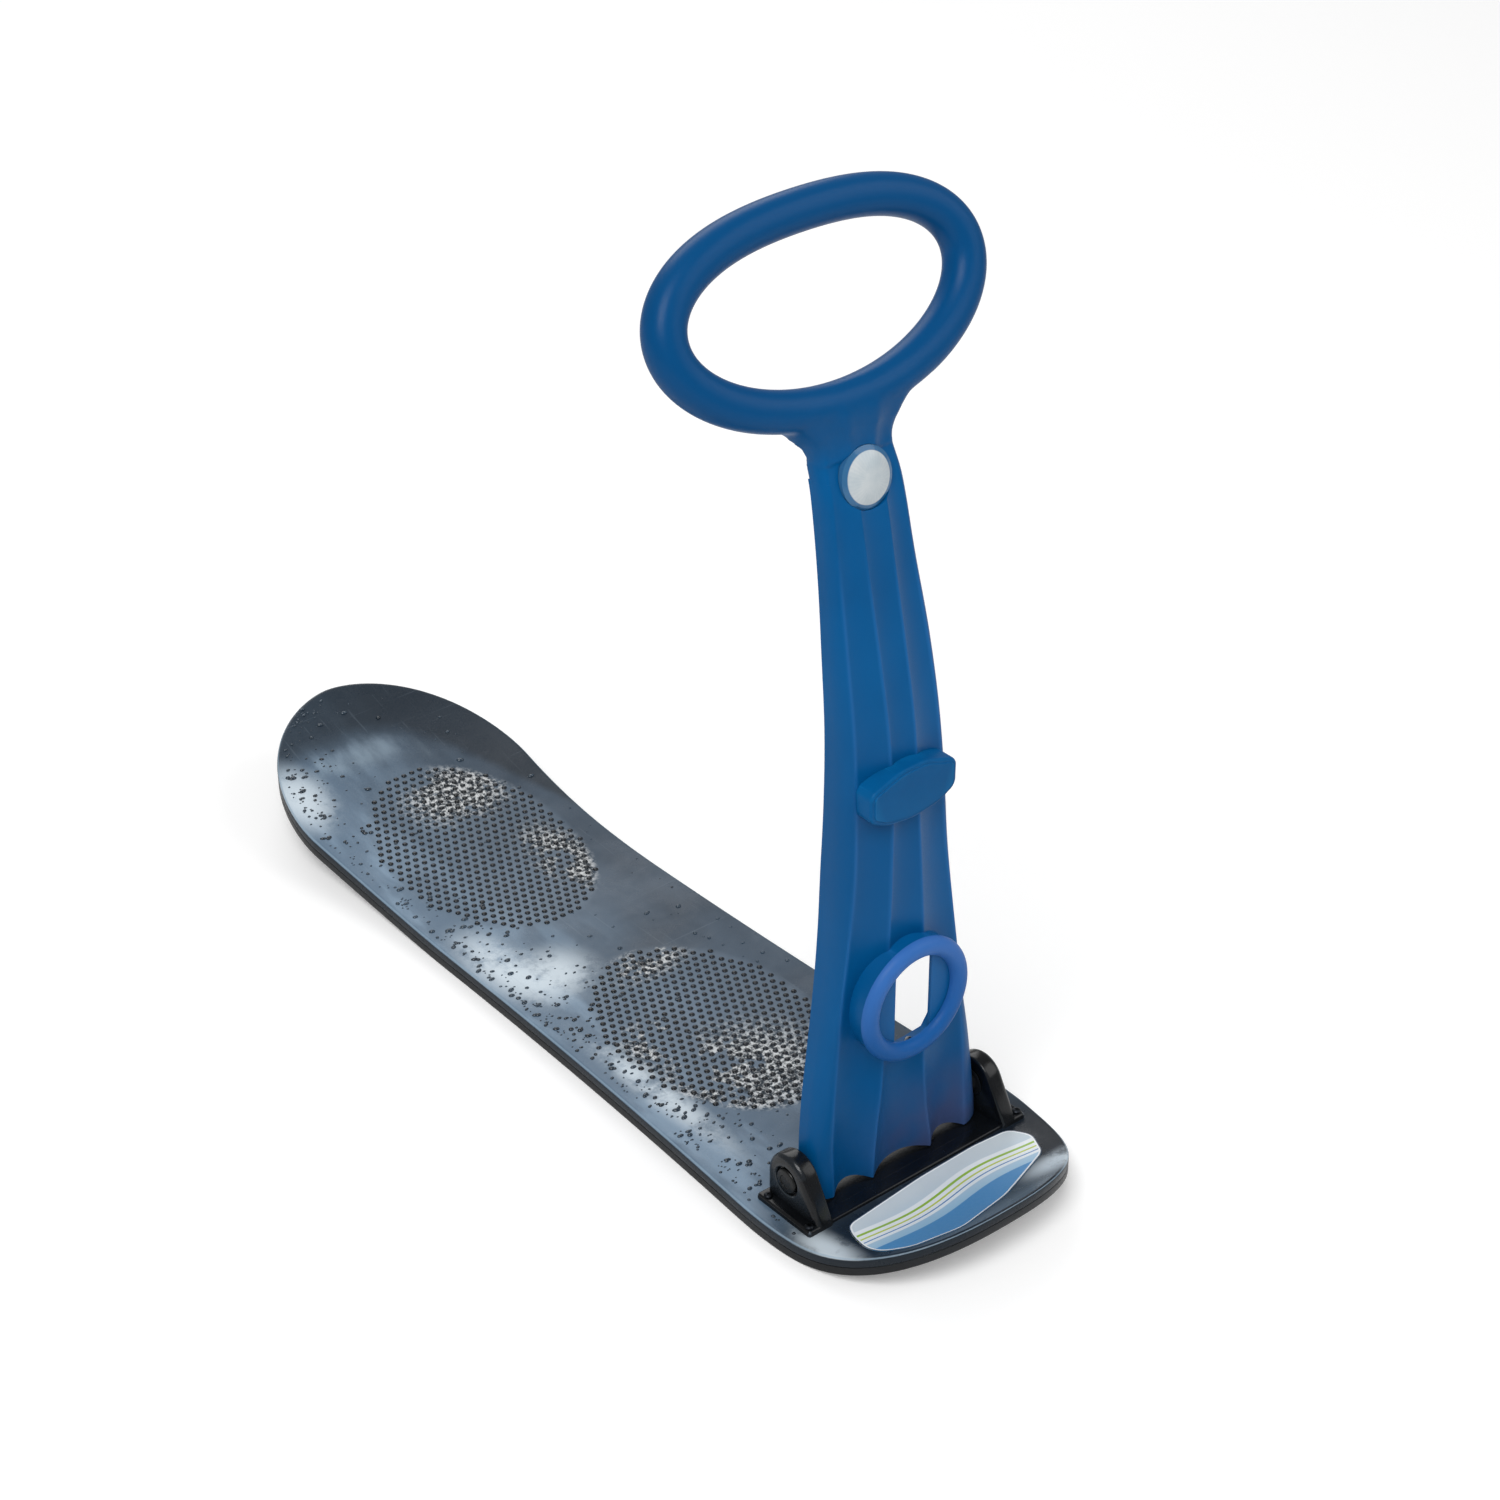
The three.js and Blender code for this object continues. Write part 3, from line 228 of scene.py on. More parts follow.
def new_piece(name, bm):
    """An object that holds the mesh, with its doubles merged and its faces turned outwards."""
    bmesh.ops.remove_doubles(bm, verts=bm.verts, dist=1e-6)
    bmesh.ops.recalc_face_normals(bm, faces=bm.faces)
    return linked(name, mesh_of(name, bm))


def mesh_of(name, bm):
    """A mesh made from a bmesh, which is used up."""
    mesh = bpy.data.meshes.new(name)
    bm.to_mesh(mesh)
    bm.free()
    return mesh


def apply_modifiers(piece):
    """Bakes a piece's modifiers into its mesh."""
    depsgraph = bpy.context.evaluated_depsgraph_get()
    made = bpy.data.meshes.new_from_object(piece.evaluated_get(depsgraph))
    piece.modifiers.clear()
    before = piece.data
    piece.data = made
    bpy.data.meshes.remove(before)
    made.name = piece.name


def combine(piece, other, operation="DIFFERENCE"):
    """Cuts a shape or another piece out of a piece, or joins it on; the other is used up."""
    if isinstance(other, bmesh.types.BMesh):
        other = new_piece("tool", other)
    step = piece.modifiers.new("combine", "BOOLEAN")
    step.operation = operation
    step.solver = "MANIFOLD"
    step.object = other
    apply_modifiers(piece)
    bpy.data.objects.remove(other)


def finish_piece(piece, body, material, replaced=(), sharp=35.0):
    """Shades a piece smooth up to its sharp edges, paints it and lets it ride on its body."""
    piece.data.materials.clear()
    piece.data.materials.append(material)
    piece.data.shade_smooth()
    piece.data.set_sharp_from_angle(angle=math.radians(sharp))
    if replaced:
        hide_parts(*replaced)
    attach(piece, body)
    return piece


def outline_face(bm, points):
    """A flat face through the points of an outline."""
    return bm.faces.new([bm.verts.new(p) for p in points])


def everything(bm):
    """All of a mesh, as the geometry that an operator works on."""
    return list(bm.verts) + list(bm.edges) + list(bm.faces)


def rounded(bm, geometry, radius, segments, affect="EDGES"):
    """Rounds off edges or corners."""
    bmesh.ops.bevel(
        bm, geom=geometry, offset=radius, segments=segments, profile=0.5, affect=affect, material=-1,
    )


def kept_above(bm, height):
    """Cuts a mesh off level at a height and closes the cut."""
    bmesh.ops.bisect_plane(
        bm, geom=everything(bm), dist=1e-7, plane_co=(0, 0, height), plane_no=(0, 0, -1), clear_outer=True,
    )
    bmesh.ops.holes_fill(bm, edges=[edge for edge in bm.edges if edge.is_boundary], sides=0)


def drawn_out(bm, faces, vector):
    """Extrudes faces along a vector and returns the faces at the far end."""
    made = bmesh.ops.extrude_face_region(bm, geom=faces)["geom"]
    verts = [g for g in made if isinstance(g, bmesh.types.BMVert)]
    bmesh.ops.translate(bm, verts=verts, vec=vector)
    return [g for g in made if isinstance(g, bmesh.types.BMFace)]


def lofted(rings):
    """A closed skin: a first ring's face is drawn out to each next ring in turn."""
    bm = bmesh.new()
    circle = bmesh.ops.create_circle(bm, cap_ends=True, segments=len(rings[0]), radius=1.0)["verts"]
    first = face = circle[0].link_faces[0]
    for corner, place in zip(face.verts, rings[0]):
        corner.co = place
    for ring in rings[1:]:
        before = face
        face = drawn_out(bm, [before], Vector((0, 0, 0)))[0]
        if before != first:
            bmesh.ops.delete(bm, geom=[before], context="FACES_ONLY")
        for corner, place in zip(face.verts, ring):
            corner.co = place
    return bm


def looped(rings):
    """A closed loop of skin: its last ring is drawn on to its first."""
    bm = lofted(rings + rings[:1])
    ends = [face for face in bm.faces if len(face.verts) == len(rings[0])]
    bmesh.ops.delete(bm, geom=ends, context="FACES_ONLY")
    bmesh.ops.remove_doubles(bm, verts=bm.verts, dist=1e-6)
    return bm


def rounded_outline(points, radius):
    """The points of an outline with each of its corners rounded off."""
    steps = 6
    made = []
    for i, point in enumerate(points):
        corner = Vector(point)
        ends = []
        for other in (points[i - 1], points[(i + 1) % len(points)]):
            along = Vector(other) - corner
            ends.append(corner + along * min(radius / along.length, 0.45))
        for k in range(steps + 1):
            share = k / steps
            made.append(ends[0] * (1 - share) ** 2 + corner * 2 * share * (1 - share) + ends[1] * share**2)
    return made


def spun(bm, profile, axis, steps):
    """Turns a profile of points all the way round an axis through the origin."""
    verts = [bm.verts.new(p) for p in profile]
    edges = [bm.edges.new(pair) for pair in zip(verts, verts[1:])]
    bmesh.ops.spin(
        bm, geom=verts + edges, cent=(0, 0, 0), axis=axis, dvec=(0, 0, 0),
        angle=2 * math.pi, steps=steps, use_merge=True, use_duplicate=False,
    )
    bmesh.ops.remove_doubles(bm, verts=bm.verts, dist=1e-6)
    bmesh.ops.delete(bm, geom=[edge for edge in bm.edges if not edge.link_faces], context="EDGES")
    bmesh.ops.recalc_face_normals(bm, faces=bm.faces)


def turned_y(profile, place, steps, tilt=0.0):
    """A bmesh turned about a line along Y through a place, from [radius, depth] pairs."""
    bm = bmesh.new()
    spun(bm, [(radius, depth, 0) for radius, depth in profile], (0, 1, 0), steps)
    bm.transform(Matrix.Translation(place) @ Matrix.Rotation(-tilt, 4, "X"))
    return bm


def about_axle(profile, steps=48):
    """A bmesh turned about the hinge's axle, from [radius, x] pairs."""
    bm = bmesh.new()
    spun(bm, [(along, 0, radius) for radius, along in profile], (1, 0, 0), steps)
    bm.transform(Matrix.Translation((0, PIN_Y, PIN_Z)))
    return bm


def quarter(centre, radius, start):
    """Points of a quarter circle in a profile's plane, from an angle on, as [radius, depth] pairs."""
    turn = [math.radians(start + 90 * i / 8) for i in range(9)]
    return [(centre[0] + radius * math.cos(a), centre[1] + radius * math.sin(a)) for a in turn]


def marked(piece, name, value_at):
    """Writes a value for each vertex of a piece, under the name that its finish reads."""
    bm = bmesh.new()
    bm.from_mesh(piece.data)
    bm.normal_update()
    layer = bm.verts.layers.float.new(name)
    for vert in bm.verts:
        vert[layer] = value_at(vert)
    bm.to_mesh(piece.data)
    bm.free()


def mark_ridges(piece, low, high):
    """Writes how sharply the surface bulges at each vertex, from 0 at curvature low to 1 at high."""
    def bulge(vert):
        near = [edge.other_vert(vert).co for edge in vert.link_edges]
        middle = sum(near, Vector()) / len(near)
        reach = sum((co - vert.co).length_squared for co in near) / len(near)
        return clamp01(((vert.co - middle).dot(vert.normal) * 4 / max(reach, 1e-12) - low) / (high - low))
    marked(piece, "ridge", bulge)


# Material helpers


def feed(tree, socket, value):
    """Links a socket's source to it, or sets its value."""
    if isinstance(value, bpy.types.NodeSocket):
        tree.links.new(value, socket)
    else:
        socket.default_value = value


def add(tree, kind, inputs=None, **settings):
    """Adds a node with its settings and its inputs."""
    node = tree.nodes.new(kind)
    for name, value in settings.items():
        setattr(node, name, value)
    for name, value in (inputs or {}).items():
        feed(tree, node.inputs[name], value)
    return node


def result_of(tree, operation, first, second=0.0, third=0.0):
    """The result of one sum on numbers or sockets."""
    return add(tree, "ShaderNodeMath", {0: first, 1: second, 2: third}, operation=operation).outputs[0]


def ramp(tree, value, low, high, start=0.0, end=1.0):
    """A value carried smoothly over from the range of low to high to that of start to end."""
    limits = {"Value": value, "From Min": low, "From Max": high, "To Min": start, "To Max": end}
    return add(tree, "ShaderNodeMapRange", limits, interpolation_type="SMOOTHSTEP").outputs["Result"]


def noise(tree, place, scale, detail, roughness=0.5):
    """A noise over the place, from 0 to 1."""
    values = {"Vector": place, "Scale": scale, "Detail": detail, "Roughness": roughness}
    return add(tree, "ShaderNodeTexNoise", values).outputs["Fac"]


def colour(red, green, blue):
    """An sRGB colour from 0 to 255 as the linear one that a shader takes."""
    def linear(part):
        share = part / 255
        return share / 12.92 if share <= 0.04045 else ((share + 0.055) / 1.055) ** 2.4
    return (linear(red), linear(green), linear(blue), 1.0)


FLOAT = "NodeSocketFloat"
VECTOR = "NodeSocketVector"


def new_group(name, inputs, outputs):
    """An empty node group with named inputs and outputs; inputs give their start values."""
    tree = bpy.data.node_groups.new(name, "ShaderNodeTree")
    tree.interface.new_socket("Place", in_out="INPUT", socket_type=VECTOR)
    for label, value in inputs:
        tree.interface.new_socket(label, in_out="INPUT", socket_type=FLOAT).default_value = value
    for label in outputs:
        tree.interface.new_socket(label, in_out="OUTPUT", socket_type=FLOAT)
    return tree, tree.nodes.new("NodeGroupInput").outputs, tree.nodes.new("NodeGroupOutput").inputs


def make_grain_group():
    """Moulded grain: fine pitting for the bump and a slow drift of tone over the piece."""
    tree, given, result = new_group(
        "moulded_grain", [("Grain Scale", 900.0), ("Drift Scale", 14.0)], ["Height", "Drift", "Grain"],
    )
    fine = noise(tree, given["Place"], given["Grain Scale"], 3.0, 0.6)
    slow = noise(tree, given["Place"], given["Drift Scale"], 4.0, 0.55)
    tree.links.new(fine, result["Height"])
    tree.links.new(ramp(tree, slow, 0.3, 0.7), result["Drift"])
    tree.links.new(ramp(tree, fine, 0.35, 0.65), result["Grain"])
    return tree


def make_scuff_group():
    """Scuffs: thin broken scratches in two directions, as a mask from 0 to 1."""
    tree, given, result = new_group("fine_scuffs", [("Amount", 0.5)], ["Mask"])
    masks = []
    for turn, stretch in ((0.5, (6.0, 260.0, 60.0)), (-0.9, (300.0, 9.0, 60.0))):
        placed = add(tree, "ShaderNodeMapping", {
            "Vector": given["Place"], "Rotation": (0.0, 0.0, turn), "Scale": stretch,
        })
        masks.append(ramp(tree, noise(tree, placed.outputs[0], 1.0, 2.0), 0.66, 0.74))
    both = result_of(tree, "MAXIMUM", masks[0], masks[1])
    tree.links.new(result_of(tree, "MULTIPLY", both, given["Amount"]), result["Mask"])
    return tree


GRAIN = make_grain_group()
SCUFFS = make_scuff_group()


def new_material(name):
    """A material with its node tree and its shader."""
    material = bpy.data.materials.new(name)
    material.use_nodes = True
    return material, material.node_tree, material.node_tree.nodes["Principled BSDF"]


class Finish:
    """A material as it is built up: a first tone, and further tones laid over it through masks."""

    def __init__(self, name, grain_scale=900.0, drift_scale=14.0):
        self.material, self.tree, self.shader = new_material(name)
        self.place = add(self.tree, "ShaderNodeTexCoord").outputs["Object"]
        self.x, self.y, self.z = add(self.tree, "ShaderNodeSeparateXYZ", {"Vector": self.place}).outputs
        scales = {"Grain Scale": grain_scale, "Drift Scale": drift_scale}
        self.height, self.drift, self.grain = self.group(GRAIN, scales)
        self.tone = None

    def group(self, group, values):
        """A node group at the object's places, with its own values."""
        node = add(self.tree, "ShaderNodeGroup", node_tree=group)
        for name, value in {"Place": self.place, **values}.items():
            feed(self.tree, node.inputs[name], value)
        return node.outputs

    def sum(self, operation, *parts):
        return result_of(self.tree, operation, *parts)

    def times(self, first, second):
        return self.sum("MULTIPLY", first, second)

    def ramp(self, *values):
        return ramp(self.tree, *values)

    def noise(self, scale, detail, roughness=0.5):
        return noise(self.tree, self.place, scale, detail, roughness)

    def scuffs(self, amount):
        return self.group(SCUFFS, {"Amount": amount})["Mask"]

    def written(self, name):
        """The value that a piece's vertices hold under a name."""
        return add(self.tree, "ShaderNodeAttribute", attribute_name=name).outputs["Fac"]

    def mapped(self, **changes):
        """The object's places moved, turned or scaled."""
        return add(self.tree, "ShaderNodeMapping", {"Vector": self.place, **changes}).outputs[0]

    def length(self, vector):
        return add(self.tree, "ShaderNodeVectorMath", {0: vector}, operation="LENGTH").outputs["Value"]

    def oval(self, middle, reach, edge):
        """A soft-edged upright oval on the deck, 1 in its middle and 0 outside."""
        (x, y), (across, along) = middle, reach
        out = self.length(self.mapped(
            Location=(-x / across, -y / along, 0.0), Scale=(1.0 / across, 1.0 / along, 0.0),
        ))
        return self.ramp(out, 1.0 + edge, 1.0 - edge)

    def ovals(self, patches, edge):
        """The soft-edged ovals of several middles and reaches, together."""
        masks = [self.oval(middle, reach, edge) for middle, reach in patches]
        while len(masks) > 1:
            masks[:2] = [self.sum("MAXIMUM", masks[0], masks[1])]
        return masks[0]

    def mixed(self, mask, first, second):
        """One tone going over into another."""
        node = add(self.tree, "ShaderNodeMix", data_type="RGBA")
        for number, value in ((0, mask), (6, first), (7, second)):
            feed(self.tree, node.inputs[number], colour(*value) if isinstance(value, tuple) else value)
        return node.outputs[2]

    def start(self, first, second, mask=None):
        """The first tone: one colour that drifts into another."""
        self.tone = self.mixed(mask or self.drift, first, second)

    def lay(self, mask, shade, share=1.0):
        """Lays a shade over the tone through a mask, at a share of its strength."""
        self.tone = self.mixed(self.times(mask, share) if share < 1.0 else mask, self.tone, shade)

    def set(self, **values):
        """Sets shader inputs by name."""
        for name, value in values.items():
            feed(self.tree, self.shader.inputs[name.replace("_", " ")], value)

    def done(self, rough, shine, strength, distance=0.0004, height=None):
        """The finished material, with its gloss from a range or a socket, its shine and its bump."""
        gloss = self.ramp(self.grain, 0.0, 1.0, *rough) if isinstance(rough, tuple) else rough
        bump = {"Height": height or self.height, "Strength": strength, "Distance": distance}
        normal = add(self.tree, "ShaderNodeBump", bump).outputs["Normal"]
        self.set(Base_Color=self.tone, Roughness=gloss, Specular_IOR_Level=shine, Normal=normal)
        return self.material


def moulded_plastic(
    name, base, deep, rough=(0.38, 0.5), grain=0.12, ridge_highlight_and_wear=None, scuffs=0.3, shine=0.3,
):
    """Injection-moulded plastic: a drift between two tones, fine grain, scuffs, and paler ridges as painted
    highlight and edge wear.
    """
    finish = Finish(name)
    finish.start(deep, base)
    # paler ridges: painted highlight and edge wear
    if ridge_highlight_and_wear:
        finish.lay(finish.written("ridge"), ridge_highlight_and_wear, 0.8)
    gloss = finish.ramp(finish.grain, 0.0, 1.0, *rough)
    return finish.done(finish.sum("MULTIPLY_ADD", finish.scuffs(scuffs), 0.15, gloss), shine, grain)


def metal(name, shade, rough):
    """Plated steel or brass: brushed tone, smudged gloss."""
    finish = Finish(name, 1400.0, 120.0)
    base = finish.tree.nodes.new("ShaderNodeRGB").outputs[0]
    base.default_value = colour(*shade)
    darker = finish.tree.nodes.new("ShaderNodeRGB").outputs[0]
    darker.default_value = tuple(part * 0.72 for part in colour(*shade)[:3]) + (1.0,)
    finish.start(darker, base)
    finish.set(Metallic=1.0)
    return finish.done((rough - 0.06, rough + 0.1), 0.5, 0.1, 0.0002)


# Board


def half_width_at(share):
    """Half the board's width at a share of its length counted from the nose."""
    if share < WAIST_SHARE:
        flare = (NOSE_HALF - WAIST_HALF) * ((WAIST_SHARE - share) / WAIST_SHARE) ** 2
    else:
        flare = (TAIL_HALF - WAIST_HALF) * ((share - WAIST_SHARE) / (1 - WAIST_SHARE)) ** 2
    nose = clamp01((NOSE_CAP_SHARE - share) / NOSE_CAP_SHARE)
    tail = clamp01((share - TAIL_CAP_SHARE) / (1 - TAIL_CAP_SHARE))
    nose_cap = (1 - nose ** NOSE_ROUNDNESS) ** (1 / NOSE_ROUNDNESS)
    tail_cap = (1 - tail ** TAIL_ROUNDNESS) ** (1 / TAIL_ROUNDNESS)
    return (WAIST_HALF + flare) * nose_cap * tail_cap


def rise_at(y):
    """How far the board has curved up from the floor at a place along it."""
    share = y / BOARD_LENGTH + 0.5
    nose = clamp01((NOSE_RISE_SHARE - share) / NOSE_RISE_SHARE)
    tail = clamp01((share - TAIL_RISE_SHARE) / (1 - TAIL_RISE_SHARE))
    return NOSE_RISE * nose**2 + TAIL_RISE * tail**2


def board_outline():
    """Points round the board's edge, closest together at the nose and the tail."""
    points = []
    for i in range(OUTLINE_POINTS):
        angle = 2 * math.pi * i / OUTLINE_POINTS
        share = (1 - math.cos(angle)) / 2
        side = 1 if angle <= math.pi else -1
        points.append((side * half_width_at(share), (share - 0.5) * BOARD_LENGTH))
    return points


def cut_across(bm, start, end, step):
    """Cuts a mesh across the board at even places, so that it can bend there."""
    count = max(int(round((end - start) / step)), 1)
    for i in range(count + 1):
        y = start + (end - start) * i / count
        bmesh.ops.bisect_plane(bm, geom=everything(bm), dist=1e-6, plane_co=(0, y, 0), plane_no=(0, 1, 0))


def bend_to_board(bm):
    """Lifts a flat mesh to the board's curve."""
    cut_across(bm, -BOARD_LENGTH / 2 + BEND_STEP / 2, (NOSE_RISE_SHARE - 0.5) * BOARD_LENGTH, BEND_STEP)
    cut_across(bm, (TAIL_RISE_SHARE - 0.5) * BOARD_LENGTH, BOARD_LENGTH / 2 - BEND_STEP / 2, BEND_STEP)
    for vert in bm.verts:
        vert.co.z += rise_at(vert.co.y)


def rim_edges(faces):
    """The edges round the outside of a set of faces."""
    chosen = set(faces)
    edges = {edge for face in faces for edge in face.edges}
    return [edge for edge in edges if len(chosen.intersection(edge.link_faces)) == 1]


def board_slab(low, high, low_round, high_round):
    """A slab with the board's outline, its lower and upper edges rounded, and bent to its curve."""
    bm = bmesh.new()
    bottom = outline_face(bm, [(x, y, low) for x, y in board_outline()])
    top = drawn_out(bm, [bottom], Vector((0, 0, high - low)))
    rounded(bm, rim_edges(top), high_round, 4)
    rounded(bm, rim_edges([bottom]), low_round, 4)
    flats = sorted(bm.faces, key=lambda face: -face.calc_area())[:2]
    bmesh.ops.inset_individual(bm, faces=flats, thickness=0.001)
    bend_to_board(bm)
    return bm


def make_board():
    """The deck and the running base under it."""
    slab = board_slab(PARTING_HEIGHT, BOARD_THICKNESS, PARTING_ROUND, DECK_EDGE_ROUND)
    deck = new_piece("deck_skin", slab)
    marked(deck, "steep", lambda vert: clamp01(1 - vert.normal.z))
    finish_piece(deck, "board", deck_plastic(), ["deck_shell"], sharp=50)
    slab = board_slab(0.0, PARTING_HEIGHT - SEAT_GAP, BASE_EDGE_ROUND, PARTING_ROUND)
    base = new_piece("base_skin", slab)
    for side in (-1, 1):
        bm = bmesh.new()
        middle = side * GROOVE_OFFSET
        corners = [(i * GROOVE_WIDTH / 2, k * GROOVE_REACH) for i, k in CORNER_SIGNS]
        floor = outline_face(bm, [(middle + x, y, -GROOVE_DEPTH) for x, y in corners])
        drawn_out(bm, [floor], Vector((0, 0, 2 * GROOVE_DEPTH)))
        bend_to_board(bm)
        combine(base, bm)
    for number in range(1, 9):
        low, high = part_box("base_screw_%d" % number)
        seat = low.z + SCREW_SEAT_DEPTH
        bm = bmesh.new()
        profile = [(0, 0, -0.01), (SCREW_SEAT, 0, -0.01), (SCREW_SEAT, 0, seat), (0, 0, seat)]
        spun(bm, profile, (0, 0, 1), 24)
        bm.transform(Matrix.Translation(((low.x + high.x) / 2, (low.y + high.y) / 2, 0)))
        combine(base, bm)
    black = moulded_plastic("base_finish", (30, 34, 38), (16, 18, 21), (0.3, 0.45), 0.1)
    finish_piece(base, "board", black, ["running_base"], sharp=50)


def dome_template(name, radius, height):
    """A low dome of a few dozen faces, on its own, to be repeated."""
    bm = bmesh.new()
    bmesh.ops.create_icosphere(bm, subdivisions=2, radius=radius)
    kept_above(bm, -0.15 * radius)
    bmesh.ops.scale(bm, verts=bm.verts, vec=(1, 1, height / radius))
    return mesh_of(name, bm)


def repeated(name, template, places):
    """One piece made of a template set down at many places."""
    bm = bmesh.new()
    for place in places:
        copy = template.copy()
        copy.transform(place)
        bm.from_mesh(copy)
        bpy.data.meshes.remove(copy)
    return linked(name, mesh_of(name, bm))


def pad_share(x, y, middle):
    """How far out a place is in a foot pad: under 1 is on it."""
    return math.hypot(x / PAD_HALF_WIDTH, (y - middle) / PAD_HALF_LENGTH)


def make_studs():
    """The studs of both foot pads, in staggered rows."""
    places = []
    row_step = STUD_PITCH * math.sqrt(3) / 2
    for middle in PAD_PLACES:
        rows = int(PAD_HALF_LENGTH / row_step)
        for row in range(-rows, rows + 1):
            y = middle + row * row_step
            columns = int(PAD_HALF_WIDTH / STUD_PITCH) + 1
            for column in range(-columns, columns + 1):
                x = (column + 0.5 * (row % 2)) * STUD_PITCH
                if pad_share(x, y, middle) < 1:
                    places.append(Matrix.Translation((x, y, BOARD_THICKNESS + rise_at(y))))
    studs = repeated("deck_studs", dome_template("stud", STUD_RADIUS, STUD_HEIGHT), places)
    black = moulded_plastic("stud_finish", (16, 26, 36), (7, 13, 19), (0.14, 0.24), 0.1, shine=0.45)
    finish_piece(studs, "board", black, sharp=80)


def make_beads():
    """Melt-water beads on the deck, most of them near its near edge and round the pads."""
    draw = random.Random(7)
    places = []
    while len(places) < BEAD_COUNT:
        y = draw.uniform(-0.46, 0.46)
        half = half_width_at(y / BOARD_LENGTH + 0.5) - BEAD_MARGIN
        x = draw.uniform(-half, half)
        near_edge = clamp01(-x / half)
        if draw.random() > BEADS_FAR + (1 - BEADS_FAR) * near_edge**3:
            continue
        if any(pad_share(x, y, middle) < 0.97 for middle in PAD_PLACES) and draw.random() > BEADS_ON_PADS:
            continue
        if y < EAR_REAR + 0.01 and abs(x) < FOOT_OUTER + 0.004:
            continue
        size = 0.45 + 1.1 * draw.random() ** 3
        turn = Matrix.Rotation(draw.uniform(-0.5, 0.5), 4, "Z")
        shape = Matrix.Diagonal((size * draw.uniform(0.9, 1.9), size, size, 1))
        lift = Matrix.Translation((x, y, BOARD_THICKNESS + rise_at(y)))
        places.append(lift @ turn @ shape)
    beads = repeated("melt_beads", dome_template("bead", BEAD_RADIUS, BEAD_HEIGHT), places)
    water = moulded_plastic(
        "bead_finish", (58, 76, 92), (24, 34, 44), (0.05, 0.1), 0.02, scuffs=0.0, shine=0.6,
    )
    finish_piece(beads, "board", water, sharp=80)


def make_label():
    """The plain printed label on the nose: a thin sheet with rounded corners that follows the deck."""
    corners = [(x, run - BOARD_LENGTH / 2) for x, run in LABEL_CORNERS]
    bm = bmesh.new()
    face = outline_face(bm, [(x, y, 0) for x, y in rounded_outline(corners, LABEL_ROUND)])
    border = bm.faces.layers.float.new("border")
    bm.faces.ensure_lookup_table()
    face = bm.faces[0]
    top = drawn_out(bm, [face], Vector((0, 0, 0.0004)))
    for value, width in ((1.0, 0.0009), (0.5, 0.0014)):
        for part in bmesh.ops.inset_region(bm, faces=top, thickness=width, use_even_offset=True)["faces"]:
            part[border] = value
    for vert in bm.verts:
        vert.co.z += BOARD_THICKNESS + SEAT_GAP
    bend_to_board(bm)
    label = new_piece("nose_sticker", bm)
    finish_piece(label, "board", label_print(), ["nose_label"], sharp=30)


# Hinge


def make_bracket():
    """The hinge bracket: two rounded ears on long feet, with straps across in front and behind."""
    under = BOARD_THICKNESS - 0.0015
    foot = Vector((EAR_FRONT - PIN_Y, FOOT_TOP - PIN_Z))
    lean = math.atan2(foot.y, foot.x) + 2 * math.pi
    tangent = lean - math.acos(EAR_RADIUS / foot.length)
    head = [tangent * i / 28 for i in range(29)]
    outline = [(EAR_FRONT, under), (PIN_Y + EAR_RADIUS, under)]
    outline += [(PIN_Y + EAR_RADIUS * math.cos(a), PIN_Z + EAR_RADIUS * math.sin(a)) for a in head]
    outline += [(EAR_FRONT, FOOT_TOP)]
    blocks = [
        ((-EAR_INNER - 0.001, EAR_FRONT + 0.002), (EAR_INNER + 0.001, EAR_FRONT + 0.015), STRAP_TOP, 0.0012),
        ((-EAR_INNER - 0.001, EAR_REAR - 0.008), (EAR_INNER + 0.001, EAR_REAR), STRAP_TOP, 0.0012),
        ((-EAR_INNER - 0.001, EAR_FRONT + 0.003), (EAR_INNER + 0.001, EAR_REAR - 0.001), PAN_TOP, 0.0003),
        ((EAR_INNER, EAR_FRONT), (FOOT_OUTER, EAR_REAR), FOOT_TOP, 0.0024),
        ((-FOOT_OUTER, EAR_FRONT), (-EAR_INNER, EAR_REAR), FOOT_TOP, 0.0024),
    ]
    parts = []
    for side in (-1, 1):
        bm = bmesh.new()
        inner = outline_face(bm, [(side * EAR_INNER, y, z) for y, z in outline])
        outer = drawn_out(bm, [inner], Vector((side * (EAR_OUTER - EAR_INNER), 0, 0)))
        rounded(bm, rim_edges(outer), EAR_ROUND, 5)
        rounded(bm, rim_edges([inner]), EAR_INNER_ROUND, 5)
        parts.append(bm)
    for (x0, y0), (x1, y1), top, radius in blocks:
        bm = bmesh.new()
        floor = outline_face(bm, [(x0, y0, under), (x1, y0, under), (x1, y1, under), (x0, y1, under)])
        lid = drawn_out(bm, [floor], Vector((0, 0, top - under)))
        sides = [edge for edge in bm.edges if abs(edge.verts[0].co.z - edge.verts[1].co.z) > 1e-5]
        rounded(bm, rim_edges(lid) + sides, radius, 4)
        parts.append(bm)
    bracket = new_piece("bracket_moulding", parts[0])
    for part in parts[1:]:
        combine(bracket, part, "UNION")
    for side in (-1, 1):
        floor = EAR_OUTER - RECESS_DEPTH
        start, end = EAR_INNER - 0.002, EAR_OUTER + 0.002
        flare = RECESS_RADIUS + 0.0012
        profile = [(0, start), (AXLE_ROOM, start), (AXLE_ROOM, floor), (RECESS_RADIUS, floor),
                   (RECESS_RADIUS, EAR_OUTER - 0.0008), (flare, EAR_OUTER + 0.0004), (flare, end), (0, end)]
        combine(bracket, about_axle([(r, side * x) for r, x in profile], 56))
    mark_ridges(bracket, 90, 700)
    # paler ridges: painted highlight and edge wear
    black = moulded_plastic(
        "bracket_finish", (17, 20, 24), (8, 10, 13), (0.16, 0.26), 0.08, (70, 80, 90), shine=0.35,
    )
    finish_piece(bracket, "board", black, ["hinge_bracket"], sharp=32)


